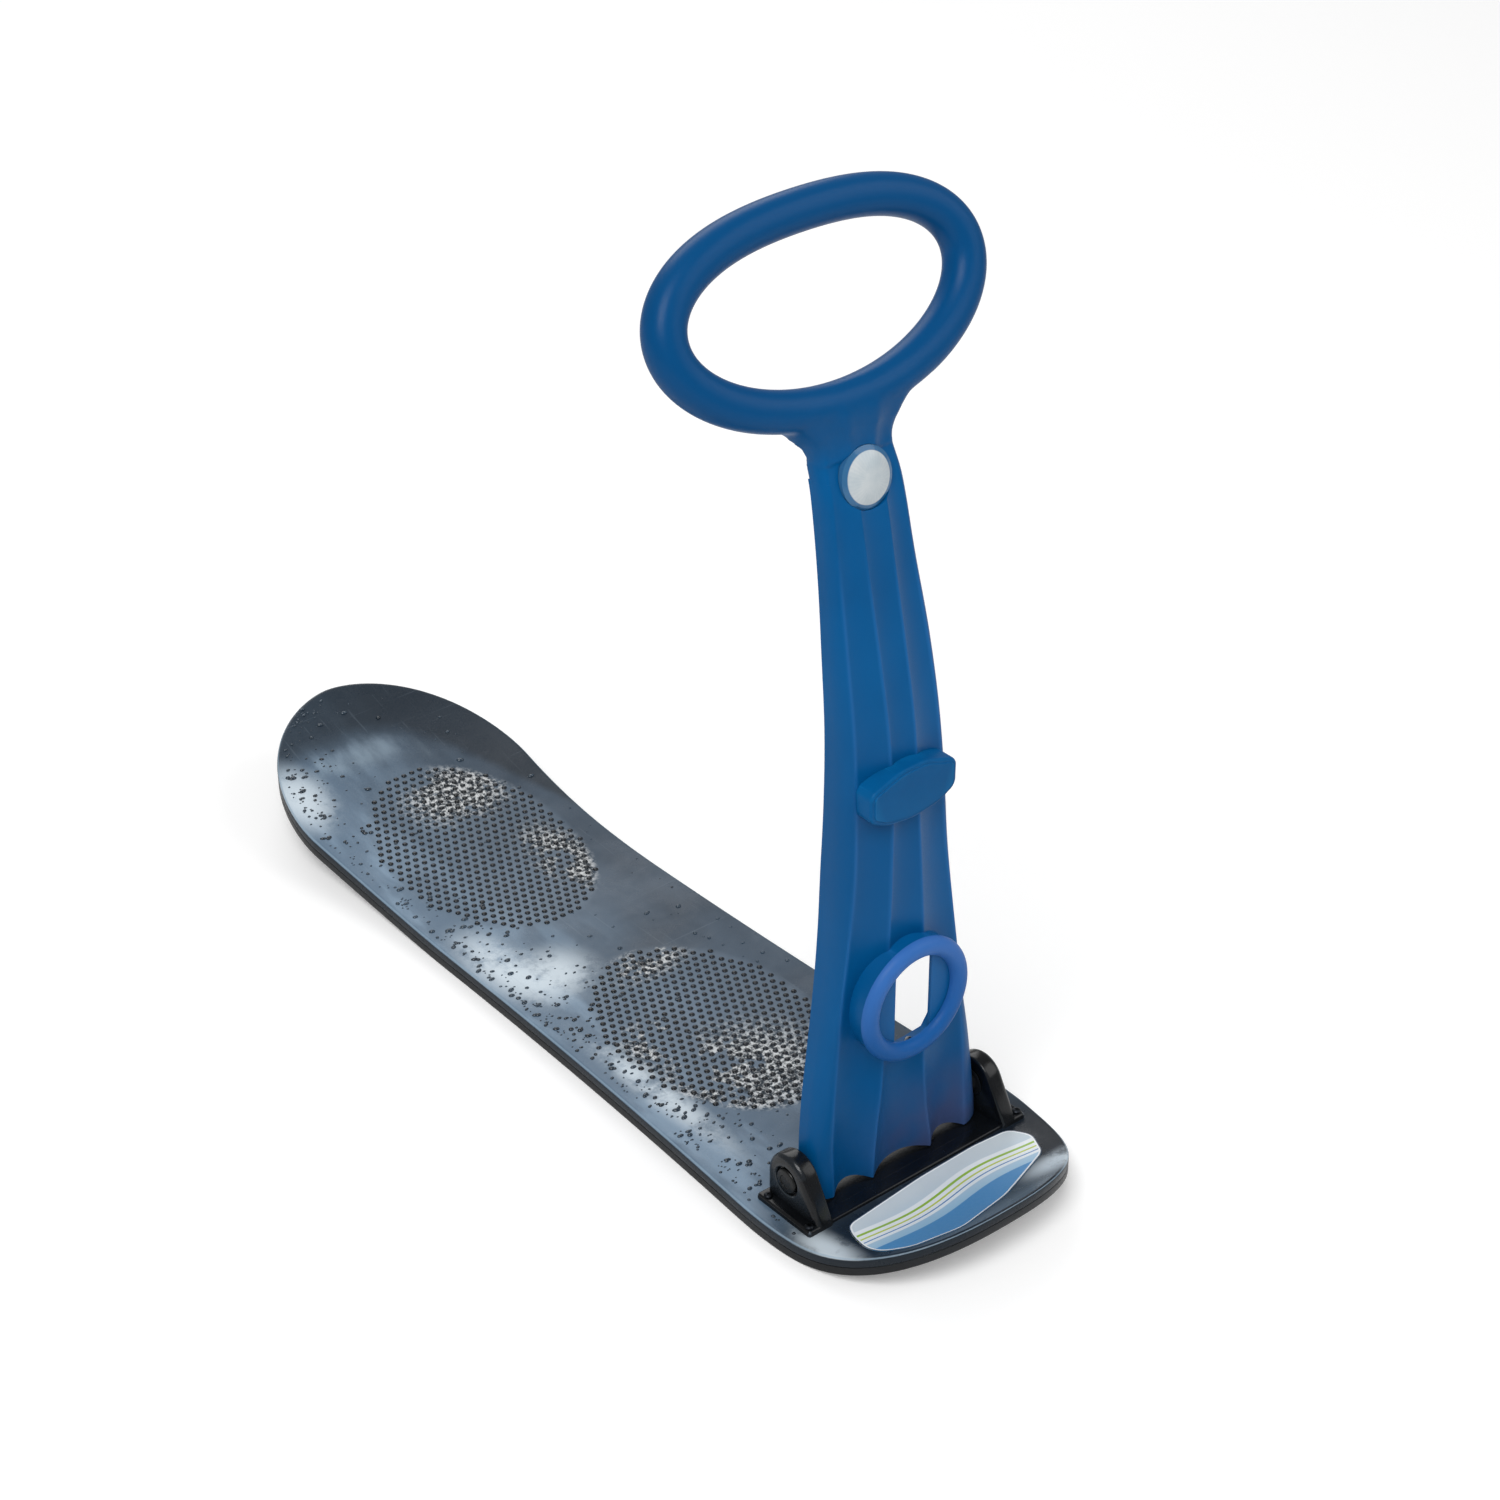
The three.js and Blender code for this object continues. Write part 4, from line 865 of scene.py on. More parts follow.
def ends_of(name, side):
    """The radius of a round piece on the axle, and its inner and outer end along X."""
    low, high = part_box(name)
    inner, outer = (low.x, high.x) if side > 0 else (high.x, low.x)
    return (high.z - low.z) / 2, inner, outer


def make_caps():
    """The domed caps pushed onto the axle's ends, and the flanged bushes in the column's foot."""
    cap_black = moulded_plastic("cap_finish", (20, 22, 24), (10, 11, 12), (0.22, 0.36), 0.06)
    bush_black = moulded_plastic("bush_finish", (26, 29, 33), (18, 20, 23), (0.4, 0.55), 0.08)
    for side, word in ((1, "right"), (-1, "left")):
        radius, inner, outer = ends_of("axle_cap_" + word, side)
        depth = outer - inner
        profile = [(AXLE_ROOM, inner), (radius, inner), (radius, inner + depth * 0.45)]
        profile += [
            (radius * (0.82 + 0.18 * math.cos(a)), inner + depth * (0.45 + 0.45 * math.sin(a)))
            for a in [math.radians(15 * i) for i in range(1, 7)]
        ]
        dimple = ((radius * 0.55, 0.94), (radius * 0.5, 0.8), (0, 0.82))
        bore = ((0, 0.55), (AXLE_ROOM, 0.55), (AXLE_ROOM, 0))
        profile += [(r, inner + depth * share) for r, share in dimple + bore]
        cap = new_piece("cap_" + word, about_axle(profile))
        finish_piece(cap, "board", cap_black, ["axle_cap_" + word])
    for side, word in ((1, "right"), (-1, "left")):
        radius, inner, outer = ends_of("hinge_bush_" + word, side)
        flange, edge = outer - side * 0.0011, side * 0.0003
        profile = [
            (AXLE_ROOM, inner), (0.008, inner), (0.008, flange), (0.0114, flange), (0.012, flange + edge),
            (0.012, outer - edge), (0.0114, outer), (AXLE_ROOM, outer), (AXLE_ROOM, inner),
        ]
        bush = new_piece("bush_" + word, about_axle(profile))
        finish_piece(bush, "handle", bush_black, ["hinge_bush_" + word])


def make_screws():
    """Pan-head screws with cross recesses, one for each screw that shows."""
    steel = metal("screw_steel_finish", (168, 171, 174), 0.3)
    black = metal("screw_black_finish", (44, 47, 52), 0.42)
    profile = [(0, 0), (0.002, 0.00012), (0.003, 0.00055), (0.0036, 0.0013), (0.0036, 0.0022),
               (0.0019, 0.0022), (0.0019, 0.0085), (0, 0.011)]
    for name in sorted(frame["nodes"]):
        if name.startswith(("base_screw_", "bracket_screw_")):
            low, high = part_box(name)
            up = name.startswith("bracket_screw_")
            turn = -1 if up else 1
            head = Matrix.Translation(((low.x + high.x) / 2, (low.y + high.y) / 2, high.z if up else low.z))
            bm = bmesh.new()
            spun(bm, [(r, 0, turn * z) for r, z in profile], (0, 0, 1), 28)
            bm.transform(head)
            screw = new_piece(name + "_head", bm)
            for angle in (0.4, 0.4 + math.pi / 2):
                cutter = bmesh.new()
                bmesh.ops.create_cube(cutter, size=1.0)
                bmesh.ops.scale(cutter, verts=cutter.verts, vec=(0.0036, 0.0008, 0.0026))
                cutter.transform(head @ Matrix.Rotation(angle, 4, "Z"))
                combine(screw, cutter)
            finish_piece(screw, "board", black if up else steel, [name], sharp=30)


# Column


def column_at(height):
    """The column's sizes at a height, read smoothly from its rows."""
    share = min(max(height / COLUMN_TOP, COLUMN_ROWS[0][0]), 1.0)
    last = next((i for i, row in enumerate(COLUMN_ROWS) if row[0] > share), len(COLUMN_ROWS) - 1)
    low, high = COLUMN_ROWS[last - 1], COLUMN_ROWS[last]
    before = COLUMN_ROWS[last - 2] if last > 1 else [2 * low[0] - high[0]] + high[1:]
    after = COLUMN_ROWS[last + 1] if last + 1 < len(COLUMN_ROWS) else [2 * high[0] - low[0]] + low[1:]
    half_step = (high[0] - low[0]) / 2
    weight_before = half_step / (low[0] - before[0])
    weight_after = half_step / (after[0] - high[0])
    p = (share - low[0]) / (high[0] - low[0])
    weights = (
        -weight_before * p**3 + 2 * weight_before * p**2 - weight_before * p,
        (1 + weight_before) * p**3 + (-1.5 - 2 * weight_before) * p**2 + (-0.5 + weight_before) * p + 1,
        (-1 - weight_after) * p**3 + (1.5 + weight_after) * p**2 + 0.5 * p,
        weight_after * p**3 - weight_after * p**2,
    )
    rows = (before, low, high, after)
    half, lean, depth, inner, outer, flute, set_back = (
        sum(w * row[k] for w, row in zip(weights, rows)) for k in range(1, 8)
    )
    return {
        "half": half * COLUMN_HALF,
        "front": COLUMN_FRONT + lean * COLUMN_REACH,
        "depth": depth * COLUMN_DEPTH,
        "inner": inner * INNER_CREST,
        "outer": outer * OUTER_CREST,
        "flute": flute * CREST_DEPTH,
        "set_back": set_back * CREST_SET_BACK,
    }


def section_half(at):
    """The right half of a section: centre flute, inner crest, outer flute, outer crest and shoulder."""
    front = at["front"]
    points = []
    for share in (0.0, 0.16, 0.32, 0.48, 0.62, 0.74, 0.84, 0.91, 0.96, 1.0):
        points.append((at["inner"] * share, front + at["flute"] * (1 - share**2.2)))
    crests = [len(points) - 1]
    for share in (0.04, 0.09, 0.16, 0.26, 0.38, 0.5, 0.62, 0.74, 0.84, 0.91, 0.96, 1.0):
        x = at["inner"] + (at["outer"] - at["inner"]) * share
        points.append((x, front + at["set_back"] * share + at["flute"] * (1 - (2 * share - 1) ** 2)))
    crests.append(len(points) - 1)
    shoulder = (at["depth"] - at["set_back"]) * SHOULDER_SHARE
    for share in (0.07, 0.15, 0.26, 0.38, 0.5, 0.62, 0.75, 0.88, 1.0):
        bend = math.pi / 2 * share
        x = at["outer"] + (at["half"] - at["outer"]) * math.sin(bend)
        points.append((x, front + at["set_back"] + shoulder * (1 - math.cos(bend))))
    points.append((at["half"], front + at["depth"]))
    for crest in crests:
        near = (points[crest - 1][1] + points[crest + 1][1]) / 2
        points[crest] = (points[crest][0], points[crest][1] * 0.6 + near * 0.4)
    return points


def section_line(at, grow=0.0):
    """A whole section from the left rear edge round to the right one, drawn out by grow."""
    right = section_half(at)
    line = [(-x, y) for x, y in reversed(right[1:])] + right
    grown = []
    for i, (x, y) in enumerate(line):
        before, after = line[max(i - 1, 0)], line[min(i + 1, len(line) - 1)]
        along = Vector((after[0] - before[0], after[1] - before[1])).normalized()
        grown.append((x + along.y * grow, y - along.x * grow))
    return grown


def heights(low, high, count):
    """Even heights from low to high."""
    return [low + (high - low) * i / count for i in range(count + 1)]


def level(line, z):
    """The points of a line across the column, at a height."""
    return [Vector((x, y, z)) for x, y in line]


def column_skin(low, high, grow=0.0):
    """The column filled in from its front to its rear edge, between two heights."""
    count = int((high - low) / COLUMN_STEP)
    return lofted([level(section_line(column_at(z), grow), z) for z in heights(low, high, count)])


def column_hollow():
    """The space inside the column, open to the back and closing towards the lamp's top."""
    rings = []
    for z in heights(0.004, 0.626, 56):
        at = column_at(z)
        closing = 0.016 * clamp01((z - 0.606) / 0.02) ** 2
        front = at["front"] + COLUMN_WALL + closing
        line = [(x, max(y, front)) for x, y in section_line(at, -COLUMN_WALL)]
        back = at["front"] + at["depth"] + 0.03
        half = at["half"] - COLUMN_WALL
        rings.append(level([(-half, back)] + line + [(half, back)], z))
    return lofted(rings)


def foot_height(x):
    """The column's lower edge: lowest at the crests, higher in the flutes and at the cheeks."""
    at = column_at(COLUMN_FOOT)
    reach = abs(x)
    if reach < at["inner"]:
        return COLUMN_FOOT + SCALLOP_HEIGHT * (1 - (reach / at["inner"]) ** 2)
    if reach < at["outer"]:
        share = (reach - at["inner"]) / (at["outer"] - at["inner"])
        return COLUMN_FOOT + SCALLOP_HEIGHT * (1 - (2 * share - 1) ** 2)
    share = math.asin(clamp01((reach - at["outer"]) / (at["half"] - at["outer"]))) / (math.pi / 2)
    return COLUMN_FOOT + CHEEK_HEIGHT * share


def foot_trim():
    """What the scalloped lower edge cuts away below the column."""
    bm = bmesh.new()
    bmesh.ops.create_grid(bm, x_segments=120, y_segments=1, size=0.5)
    for vert in bm.verts:
        x = vert.co.x * 0.2
        vert.co = Vector((x, COLUMN_FRONT + 0.02 + vert.co.y * 0.12, foot_height(x)))
    drawn_out(bm, list(bm.faces), Vector((0, 0, -0.06)))
    return bm


def grip_place(u, v, out=0.0):
    """A point by its place across, up and ahead in the ring's own plane."""
    lean, rise = math.sin(GRIP_LEAN), math.cos(GRIP_LEAN)
    return Vector((u, GRIP_Y + v * lean - out * rise, GRIP_Z + v * rise + out * lean))


def grip_line(angle):
    """The ring's centre line in its own plane."""
    u = GRIP_HALF_WIDTH * (math.cos(angle) + 0.0563 * math.cos(3 * angle))
    wave = 0.0495 * math.cos(2 * angle) + 0.0564 * math.sin(3 * angle)
    return u, GRIP_HALF_HEIGHT * (math.sin(angle) + wave)


def grip_ring():
    """The ring grip: a tube of softly squared section along its centre line."""
    rings = []
    for i in range(GRIP_STATIONS):
        angle = 2 * math.pi * i / GRIP_STATIONS
        u, v = grip_line(angle)
        ahead, behind = grip_line(angle + 0.001), grip_line(angle - 0.001)
        along = Vector((ahead[0] - behind[0], ahead[1] - behind[1])).normalized()
        ring = []
        for k in range(GRIP_SIDES):
            turn = 2 * math.pi * k / GRIP_SIDES
            across, up = math.cos(turn), math.sin(turn)
            squared = abs(across) ** TUBE_SQUARENESS + abs(up) ** TUBE_SQUARENESS
            reach = GRIP_TUBE / squared ** (1 / TUBE_SQUARENESS)
            ring.append(grip_place(u + along.y * reach * across, v - along.x * reach * across, reach * up))
        rings.append(ring)
    return looped(rings)


def neck():
    """The neck: the column's section carried on and spread into the underside of the ring."""
    top = column_at(COLUMN_TOP)
    rings = []
    for t in heights(0, 1, NECK_STEPS):
        spread = [(1 - t) ** 3, 3 * (1 - t) ** 2 * t, 3 * (1 - t) * t**2, t**3]
        half = sum(w * x for w, x in zip(spread, (top["half"], top["half"]) + NECK_HALVES))
        v = sum(w * x for w, x in zip(spread, NECK_PLACES))
        risen = clamp01((v - NECK_PLACES[0]) / NECK_FLUSH)
        ahead = 0.0027 + 0.0134 * risen**2 * (3 - 2 * risen)
        rear = (top["depth"] - 0.0033) * (1 - risen) + 0.0142 * risen
        at = {
            "half": half, "front": -ahead, "depth": ahead + rear,
            "inner": top["inner"] * (1 + 0.5 * t), "outer": top["outer"] * half / top["half"],
            "flute": top["flute"] * (1 - 0.6 * t), "set_back": top["set_back"],
        }
        rings.append([grip_place(x, v, -y) for x, y in section_line(at)])
    return lofted(rings)


def collar_pad(inset=0.0, ahead=0.0):
    """The cone that carries the collar, ahead of the column's own face."""
    face = column_at(COLLAR_Z)["front"] - PAD_PROUD
    foot = face + PAD_RUN
    lip = [(PAD_TOP - inset, face - ahead)] if ahead else []
    profile = [(0, face - ahead)] + lip + [
        (PAD_TOP - inset, face), (PAD_FOOT - inset, foot), (PAD_FOOT - inset, foot + COLUMN_WALL),
        (0, foot + COLUMN_WALL),
    ]
    return turned_y(profile, (0, 0, COLLAR_Z), 96)


def joined(name, parts):
    """Several closed skins as one piece."""
    bm = bmesh.new()
    for part in parts:
        mesh = bpy.data.meshes.new("part")
        part.to_mesh(mesh)
        bm.from_mesh(mesh)
        bpy.data.meshes.remove(mesh)
    return new_piece(name, bm)


def hand_slot(front, back):
    """The upright slot with rounded corners that goes through the column behind the collar."""
    bm = bmesh.new()
    places = [(i * SLOT_HALF_WIDTH, front, COLLAR_Z + k * SLOT_HALF_HEIGHT) for i, k in CORNER_SIGNS]
    rounded(bm, list(outline_face(bm, places).verts), SLOT_CORNER, 8, "VERTICES")
    bm.faces.ensure_lookup_table()
    drawn_out(bm, [bm.faces[0]], Vector((0, back - front, 0)))
    return bm


def hinge_barrel():
    """The barrel that turns on the axle, kept behind the column's front face."""
    reach = column_at(PIN_Z)["half"] - COLUMN_WALL / 2
    profile = [(0, -reach), (BARREL_RADIUS, -reach), (BARREL_RADIUS, reach), (0, reach)]
    barrel = new_piece("barrel", about_axle(profile))
    combine(barrel, column_front_room())
    return barrel


def column_front_room():
    """The space ahead of the column's foot, up to its flutes."""
    ahead = [(0.1, -0.4), (-0.1, -0.4)]
    return lofted([
        level(section_line(column_at(z), -0.0005)[1:-1] + ahead, z) for z in heights(0.02, 0.07, 10)
    ])


def about_lamp(profile):
    """A bmesh turned about the lamp's axis, from [radius, depth] pairs."""
    return turned_y(profile, (0, column_at(LAMP_Z)["front"], LAMP_Z), 72, LAMP_TILT)


def lens_hole():
    """The stepped round hole that the lens looks out of."""
    inner, outer = LENS_RADIUS + SEAT_GAP, LENS_FLANGE + SEAT_GAP
    step, back = LENS_SEAT - SEAT_GAP, 0.012
    return about_lamp([(0, -0.03), (inner, -0.03), (inner, step), (outer, step), (outer, back), (0, back)])


def mark_crests(piece):
    """Writes how near each vertex of the column's front lies to one of its crests."""
    def nearness(vert):
        at = column_at(max(vert.co.z, COLUMN_FOOT))
        reach = abs(vert.co.x)
        gap = min(abs(reach - at["inner"]), abs(reach - at["outer"]))
        inside = vert.co.y > at["front"] + at["flute"] + at["set_back"] + COLUMN_WALL / 2
        return 0.0 if inside or vert.normal.y >= 0 else clamp01(1.25 - gap / CREST_LINE)
    marked(piece, "ridge", nearness)


def make_column(finish):
    """The column: hollow and open behind, with the collar's pad, the scalloped foot and the hinge barrel."""
    column = new_piece("column_skin", column_skin(0.008, COLUMN_JOINT))
    combine(column, collar_pad(), "UNION")
    combine(column, column_hollow())
    combine(column, collar_pad(COLUMN_WALL, -COLUMN_WALL))
    combine(column, foot_trim())
    combine(column, hinge_barrel(), "UNION")
    profile = [(0, -0.1), (BUSH_SLEEVE, -0.1), (BUSH_SLEEVE, -BUSH_REACH), (AXLE_ROOM, -BUSH_REACH)]
    profile += [(radius, -x) for radius, x in reversed(profile)]
    combine(column, about_axle(profile))
    face = column_at(COLLAR_Z)["front"] - PAD_PROUD
    combine(column, hand_slot(face - 0.002, face + 0.04))
    combine(column, lens_hole())
    mark_crests(column)
    nodes = ["column_foot", "column_lower", "column_waist", "column_head"]
    finish_piece(column, "handle", finish, nodes, sharp=60)


def smoothed(bm, verts, times):
    """Evens out vertices with their neighbours, a number of times."""
    while times:
        bmesh.ops.smooth_vert(bm, verts=verts, factor=0.5, use_axis_x=True, use_axis_y=True, use_axis_z=True)
        times -= 1


def laid_back(bm, shapes):
    """Moves vertices on to the shapes they came from, less and less towards where two shapes meet."""
    for vert in bm.verts:
        found = sorted((shape.find_nearest(vert.co) for shape in shapes), key=lambda hit: hit[3])
        clear = clamp01((found[1][3] - 0.004) / 0.009)
        low = clamp01((0.634 - vert.co.z) / 0.01)
        vert.co = vert.co.lerp(found[0][0], max(clear, low))


def make_grip(finish):
    """The ring, its neck and the column's top: blended by a fine remesh, hollowed and pierced."""
    parts = [column_skin(0.59, COLUMN_TOP), neck(), grip_ring()]
    shapes = [BVHTree.FromBMesh(part) for part in parts]
    grip = joined("grip_skin", parts)
    for part in parts:
        part.free()
    remesh = grip.modifiers.new("blend", "REMESH")
    remesh.mode = "VOXEL"
    remesh.voxel_size = GRIP_GRAIN
    remesh.use_smooth_shade = True
    apply_modifiers(grip)
    bm = bmesh.new()
    bm.from_mesh(grip.data)
    smoothed(bm, bm.verts, 8)
    meeting = []
    for vert in bm.verts:
        gaps = sorted(shape.find_nearest(vert.co)[3] for shape in shapes)
        if gaps[1] < 0.007 and vert.co.z > 0.625:
            meeting.append(vert)
    smoothed(bm, meeting, 20)
    laid_back(bm, shapes)
    smoothed(bm, bm.verts, 2)
    kept_above(bm, COLUMN_JOINT)
    bm.to_mesh(grip.data)
    bm.free()
    combine(grip, column_hollow())
    combine(grip, lens_hole())
    mark_crests(grip)
    finish_piece(grip, "handle", finish, ["grip_ring"], sharp=60)


def make_collar():
    """The rope collar: a smooth thick ring."""
    face = column_at(COLLAR_Z)["front"]
    front, back = face - COLLAR_PROUD, face - PAD_PROUD - SEAT_GAP
    profile = [(COLLAR_INNER, back)]
    profile += quarter((COLLAR_INNER + COLLAR_ROLL, front + COLLAR_ROLL), COLLAR_ROLL, 180)
    profile += quarter((COLLAR_OUTER - COLLAR_ROLL, front + COLLAR_ROLL), COLLAR_ROLL, 270)
    profile += [(COLLAR_OUTER, back), (COLLAR_INNER, back)]
    collar = new_piece("collar_roll", turned_y(profile, (0, 0, COLLAR_Z), 96))
    mark_ridges(collar, 190, 900)
    finish_piece(collar, "handle", collar_plastic(), ["collar_ring"], sharp=50)


def make_badge():
    """The badge: a plain plaque with a low gable, a bowed sill and a thin raised border."""
    low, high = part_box("badge_block")
    half = (high.x - low.x) / 2
    right = [(half * 0.6, -BADGE_BOW * 0.86), (half, -BADGE_SILL)]
    right += [(half, BADGE_SHOULDER), (half * 0.3, BADGE_PEAK)]
    corners = [(0, -BADGE_BOW)] + right + [(-x, z) for x, z in reversed(right)]
    bm = bmesh.new()
    face = outline_face(bm, [(x, BADGE_FACE, BADGE_Z + z) for x, z in corners])
    rounded(bm, list(face.verts), 0.0055, 6, "VERTICES")
    bm.faces.ensure_lookup_table()
    face = bm.faces[0]
    drawn_out(bm, [face], Vector((0, BADGE_REACH, 0)))
    rounded(bm, rim_edges([face]), 0.0022, 5)
    ahead = [face for face in bm.faces if face.calc_center_median().y < BADGE_FACE + 1e-4]
    face = max(ahead, key=lambda face: face.calc_area())
    bmesh.ops.inset_region(bm, faces=[face], thickness=0.0012)
    bmesh.ops.inset_region(bm, faces=[face], thickness=0.0006, depth=-0.0008)
    badge = new_piece("badge_plaque", bm)
    combine(badge, column_skin(0.3, 0.44, SEAT_GAP))
    mark_ridges(badge, 120, 900)
    # paler ridges: painted highlight and edge wear
    blue = moulded_plastic(
        "badge_finish", (0, 90, 148), (0, 79, 132), grain=0.1, ridge_highlight_and_wear=(10, 106, 162), shine=0.1,
    )
    finish_piece(badge, "handle", blue, ["badge_block"], sharp=40)


def make_lens():
    """The lens: a low domed push button with fine rings inside, its rim sunk to the flute's level."""
    sphere = (LENS_RADIUS**2 + LENS_RISE**2) / (2 * LENS_RISE)

    def depth_at(radius):
        return -LENS_PROUD + sphere * (1 - math.cos(math.asin(radius / sphere)))

    opening = math.asin(LENS_RADIUS / sphere)
    outer = [sphere * math.sin(opening * i / 20) for i in range(21)]
    profile = [(radius, depth_at(radius)) for radius in outer]
    inside = LENS_RADIUS - LENS_WALL
    profile += [(LENS_RADIUS, LENS_SEAT), (LENS_FLANGE, LENS_SEAT)]
    profile += [(LENS_FLANGE, LENS_BACK), (inside, LENS_BACK)]
    for i in range(33):
        radius = inside * (1 - i / 32)
        profile.append((radius, depth_at(radius) + LENS_WALL + 0.00015 * (i % 2)))
    lens = new_piece("lens_dome", about_lamp(profile))
    finish_piece(lens, "lens", lens_plastic(), ["lens_button"], sharp=40)


# Finishes


# Patches of painted glare where the deck is damp, and slush: the middle and the reach of each, across and
# along the board
WET_GLARE_PATCHES = [
    ((-0.1, 0.364), (0.022, 0.034)), ((-0.088, 0.07), (0.02, 0.05)), ((-0.092, -0.15), (0.012, 0.08)),
    ((-0.06, 0.035), (0.03, 0.03)), ((0.085, -0.44), (0.03, 0.012)), ((-0.115, -0.39), (0.012, 0.03)),
]
SLUSH_PATCHES = [
    ((0.03, 0.3), (0.05, 0.035)), ((0.055, 0.17), (0.025, 0.05)), ((-0.02, -0.18), (0.07, 0.06)),
    ((0.01, 0.0), (0.04, 0.022)), ((-0.05, -0.1), (0.03, 0.03)),
]
# The dark tail begins along an arc: its place on the middle line, and how it curves on the far side
ARC_PLACE = 0.402
ARC_CURVE = -14.0


def deck_plastic():
    """Wet slate deck: painted reflection and streaks along the near edge, painted shade on the far side, a
    pale streaky arc before the dark tail, painted glare on damp patches, slush on the pads, a painted
    highlight along the top edge and painted shade on the side walls.
    """
    deck = Finish("deck_finish", 650.0, 9.0)
    patches = deck.noise(16.0, 7.0, 0.68)
    grit = deck.noise(260.0, 4.0, 0.75)
    streak = noise(deck.tree, deck.mapped(Rotation=(0.0, 0.0, 0.3), Scale=(30.0, 9.0, 9.0)), 1.0, 6.0)
    near = deck.ramp(deck.x, 0.05, -0.11)
    deck.start((50, 64, 78), (82, 99, 116))
    # painted shade: the far side darker, where the deck reflects less light
    deck.lay(deck.ramp(deck.x, 0.0, 0.1, 0.0, 0.45), (40, 56, 72))
    # painted reflection: paler towards the near edge, with paler reflected streaks there
    deck.lay(near, (104, 127, 149), 0.75)
    deck.lay(deck.times(near, deck.ramp(streak, 0.46, 0.64)), (142, 166, 188), 0.6)
    far = deck.times(deck.x, deck.sum("MAXIMUM", deck.x, 0.0))
    beyond = deck.sum("SUBTRACT", deck.y, deck.sum("MULTIPLY_ADD", far, ARC_CURVE, ARC_PLACE))
    ragged = deck.sum("MULTIPLY_ADD", patches, 0.03, deck.sum("SUBTRACT", beyond, 0.015))
    deck.lay(deck.ramp(ragged, -0.012, 0.024), (30, 40, 50), 0.85)
    # a pale streaky band along the arc, strongest towards the near side
    milky = deck.ramp(deck.sum("ABSOLUTE", deck.sum("ADD", ragged, 0.016)), 0.026, 0.002)
    arc_streaks = deck.times(milky, deck.ramp(streak, 0.38, 0.62))
    deck.lay(deck.times(arc_streaks, deck.ramp(deck.x, 0.075, -0.01, 0.0, 0.5)), (150, 168, 182))
    deck.lay(deck.ramp(deck.y, -0.3, -0.38), (14, 21, 30), 0.93)
    pad = deck.ovals([((0.0, middle), (PAD_HALF_WIDTH, PAD_HALF_LENGTH)) for middle in PAD_PLACES], 0.05)
    deck.lay(pad, (96, 113, 130), 0.5)
    # painted reflection: near-white glare on the damp patches
    for middle, reach in WET_GLARE_PATCHES:
        wet_glare = deck.times(deck.oval(middle, reach, 0.8), deck.ramp(patches, 0.34, 0.54))
        deck.lay(wet_glare, (214, 226, 234), 0.85)
    frost = deck.times(deck.times(pad, deck.ovals(SLUSH_PATCHES, 0.5)), deck.ramp(patches, 0.44, 0.5))
    deck.lay(frost, deck.mixed(deck.ramp(grit, 0.44, 0.6), (24, 29, 33), (226, 228, 228)), 0.85)
    deck.lay(deck.scuffs(0.5), (140, 154, 166), 0.2)
    steep = deck.written("steep")
    # painted highlight: a pale line along the rounded top edge
    deck.lay(deck.times(deck.ramp(steep, 0.04, 0.2), deck.ramp(steep, 0.6, 0.35)), (150, 172, 190), 0.6)
    # painted shade: the steep side walls darker
    deck.lay(deck.ramp(steep, 0.45, 0.75), (30, 38, 46))
    gloss = add(deck.tree, "ShaderNodeMix", {0: frost, 2: deck.ramp(patches, 0.35, 0.65, 0.2, 0.4), 3: 0.7})
    height = deck.sum("MULTIPLY_ADD", deck.times(frost, grit), 4.0, deck.height)
    return deck.done(gloss.outputs[0], 0.2, 0.22, 0.0005, height)


def handle_plastic():
    """Blue column plastic: deeper on the ring, with painted highlights along its crests and a painted
    violet-grey reflection at its foot.
    """
    blue = Finish("handle_finish", 800.0, 7.0)
    blue.start((0, 82, 138), (0, 89, 148))
    blue.lay(blue.ramp(blue.z, 0.6, 0.7), (0, 74, 127))
    # painted highlight: thin pale lines along the crests, below the lamp
    blue.lay(blue.times(blue.written("ridge"), blue.ramp(blue.z, 0.58, 0.5)), (46, 116, 186), 0.36)
    # painted reflection: a dark violet-grey fading up the foot's middle and right
    foot_reflection = blue.times(blue.ramp(blue.z, 0.115, 0.03), blue.ramp(blue.x, -0.06, 0.03))
    waves = blue.ramp(blue.noise(22.0, 2.0), 0.25, 0.6, 0.35, 1.0)
    blue.lay(blue.times(foot_reflection, waves), (84, 80, 112), 0.62)
    gloss = blue.ramp(blue.grain, 0.0, 1.0, 0.3, 0.4)
    return blue.done(blue.sum("MULTIPLY_ADD", blue.scuffs(0.2), 0.12, gloss), 0.13, 0.1)


def collar_plastic():
    """Lighter blue collar, with painted light: palest at its top, and painted highlights on its rolled
    edges.
    """
    blue = Finish("collar_finish", 800.0, 9.0)
    # painted light: the collar palest at its top
    blue.start((20, 88, 156), (58, 112, 186), blue.ramp(blue.z, COLLAR_Z - 0.055, COLLAR_Z + 0.05))
    blue.lay(blue.drift, (16, 84, 150), 0.12)
    # painted highlight on the collar's rolled edges
    blue.lay(blue.written("ridge"), (110, 156, 214), 0.2)
    return blue.done((0.36, 0.48), 0.15, 0.1)


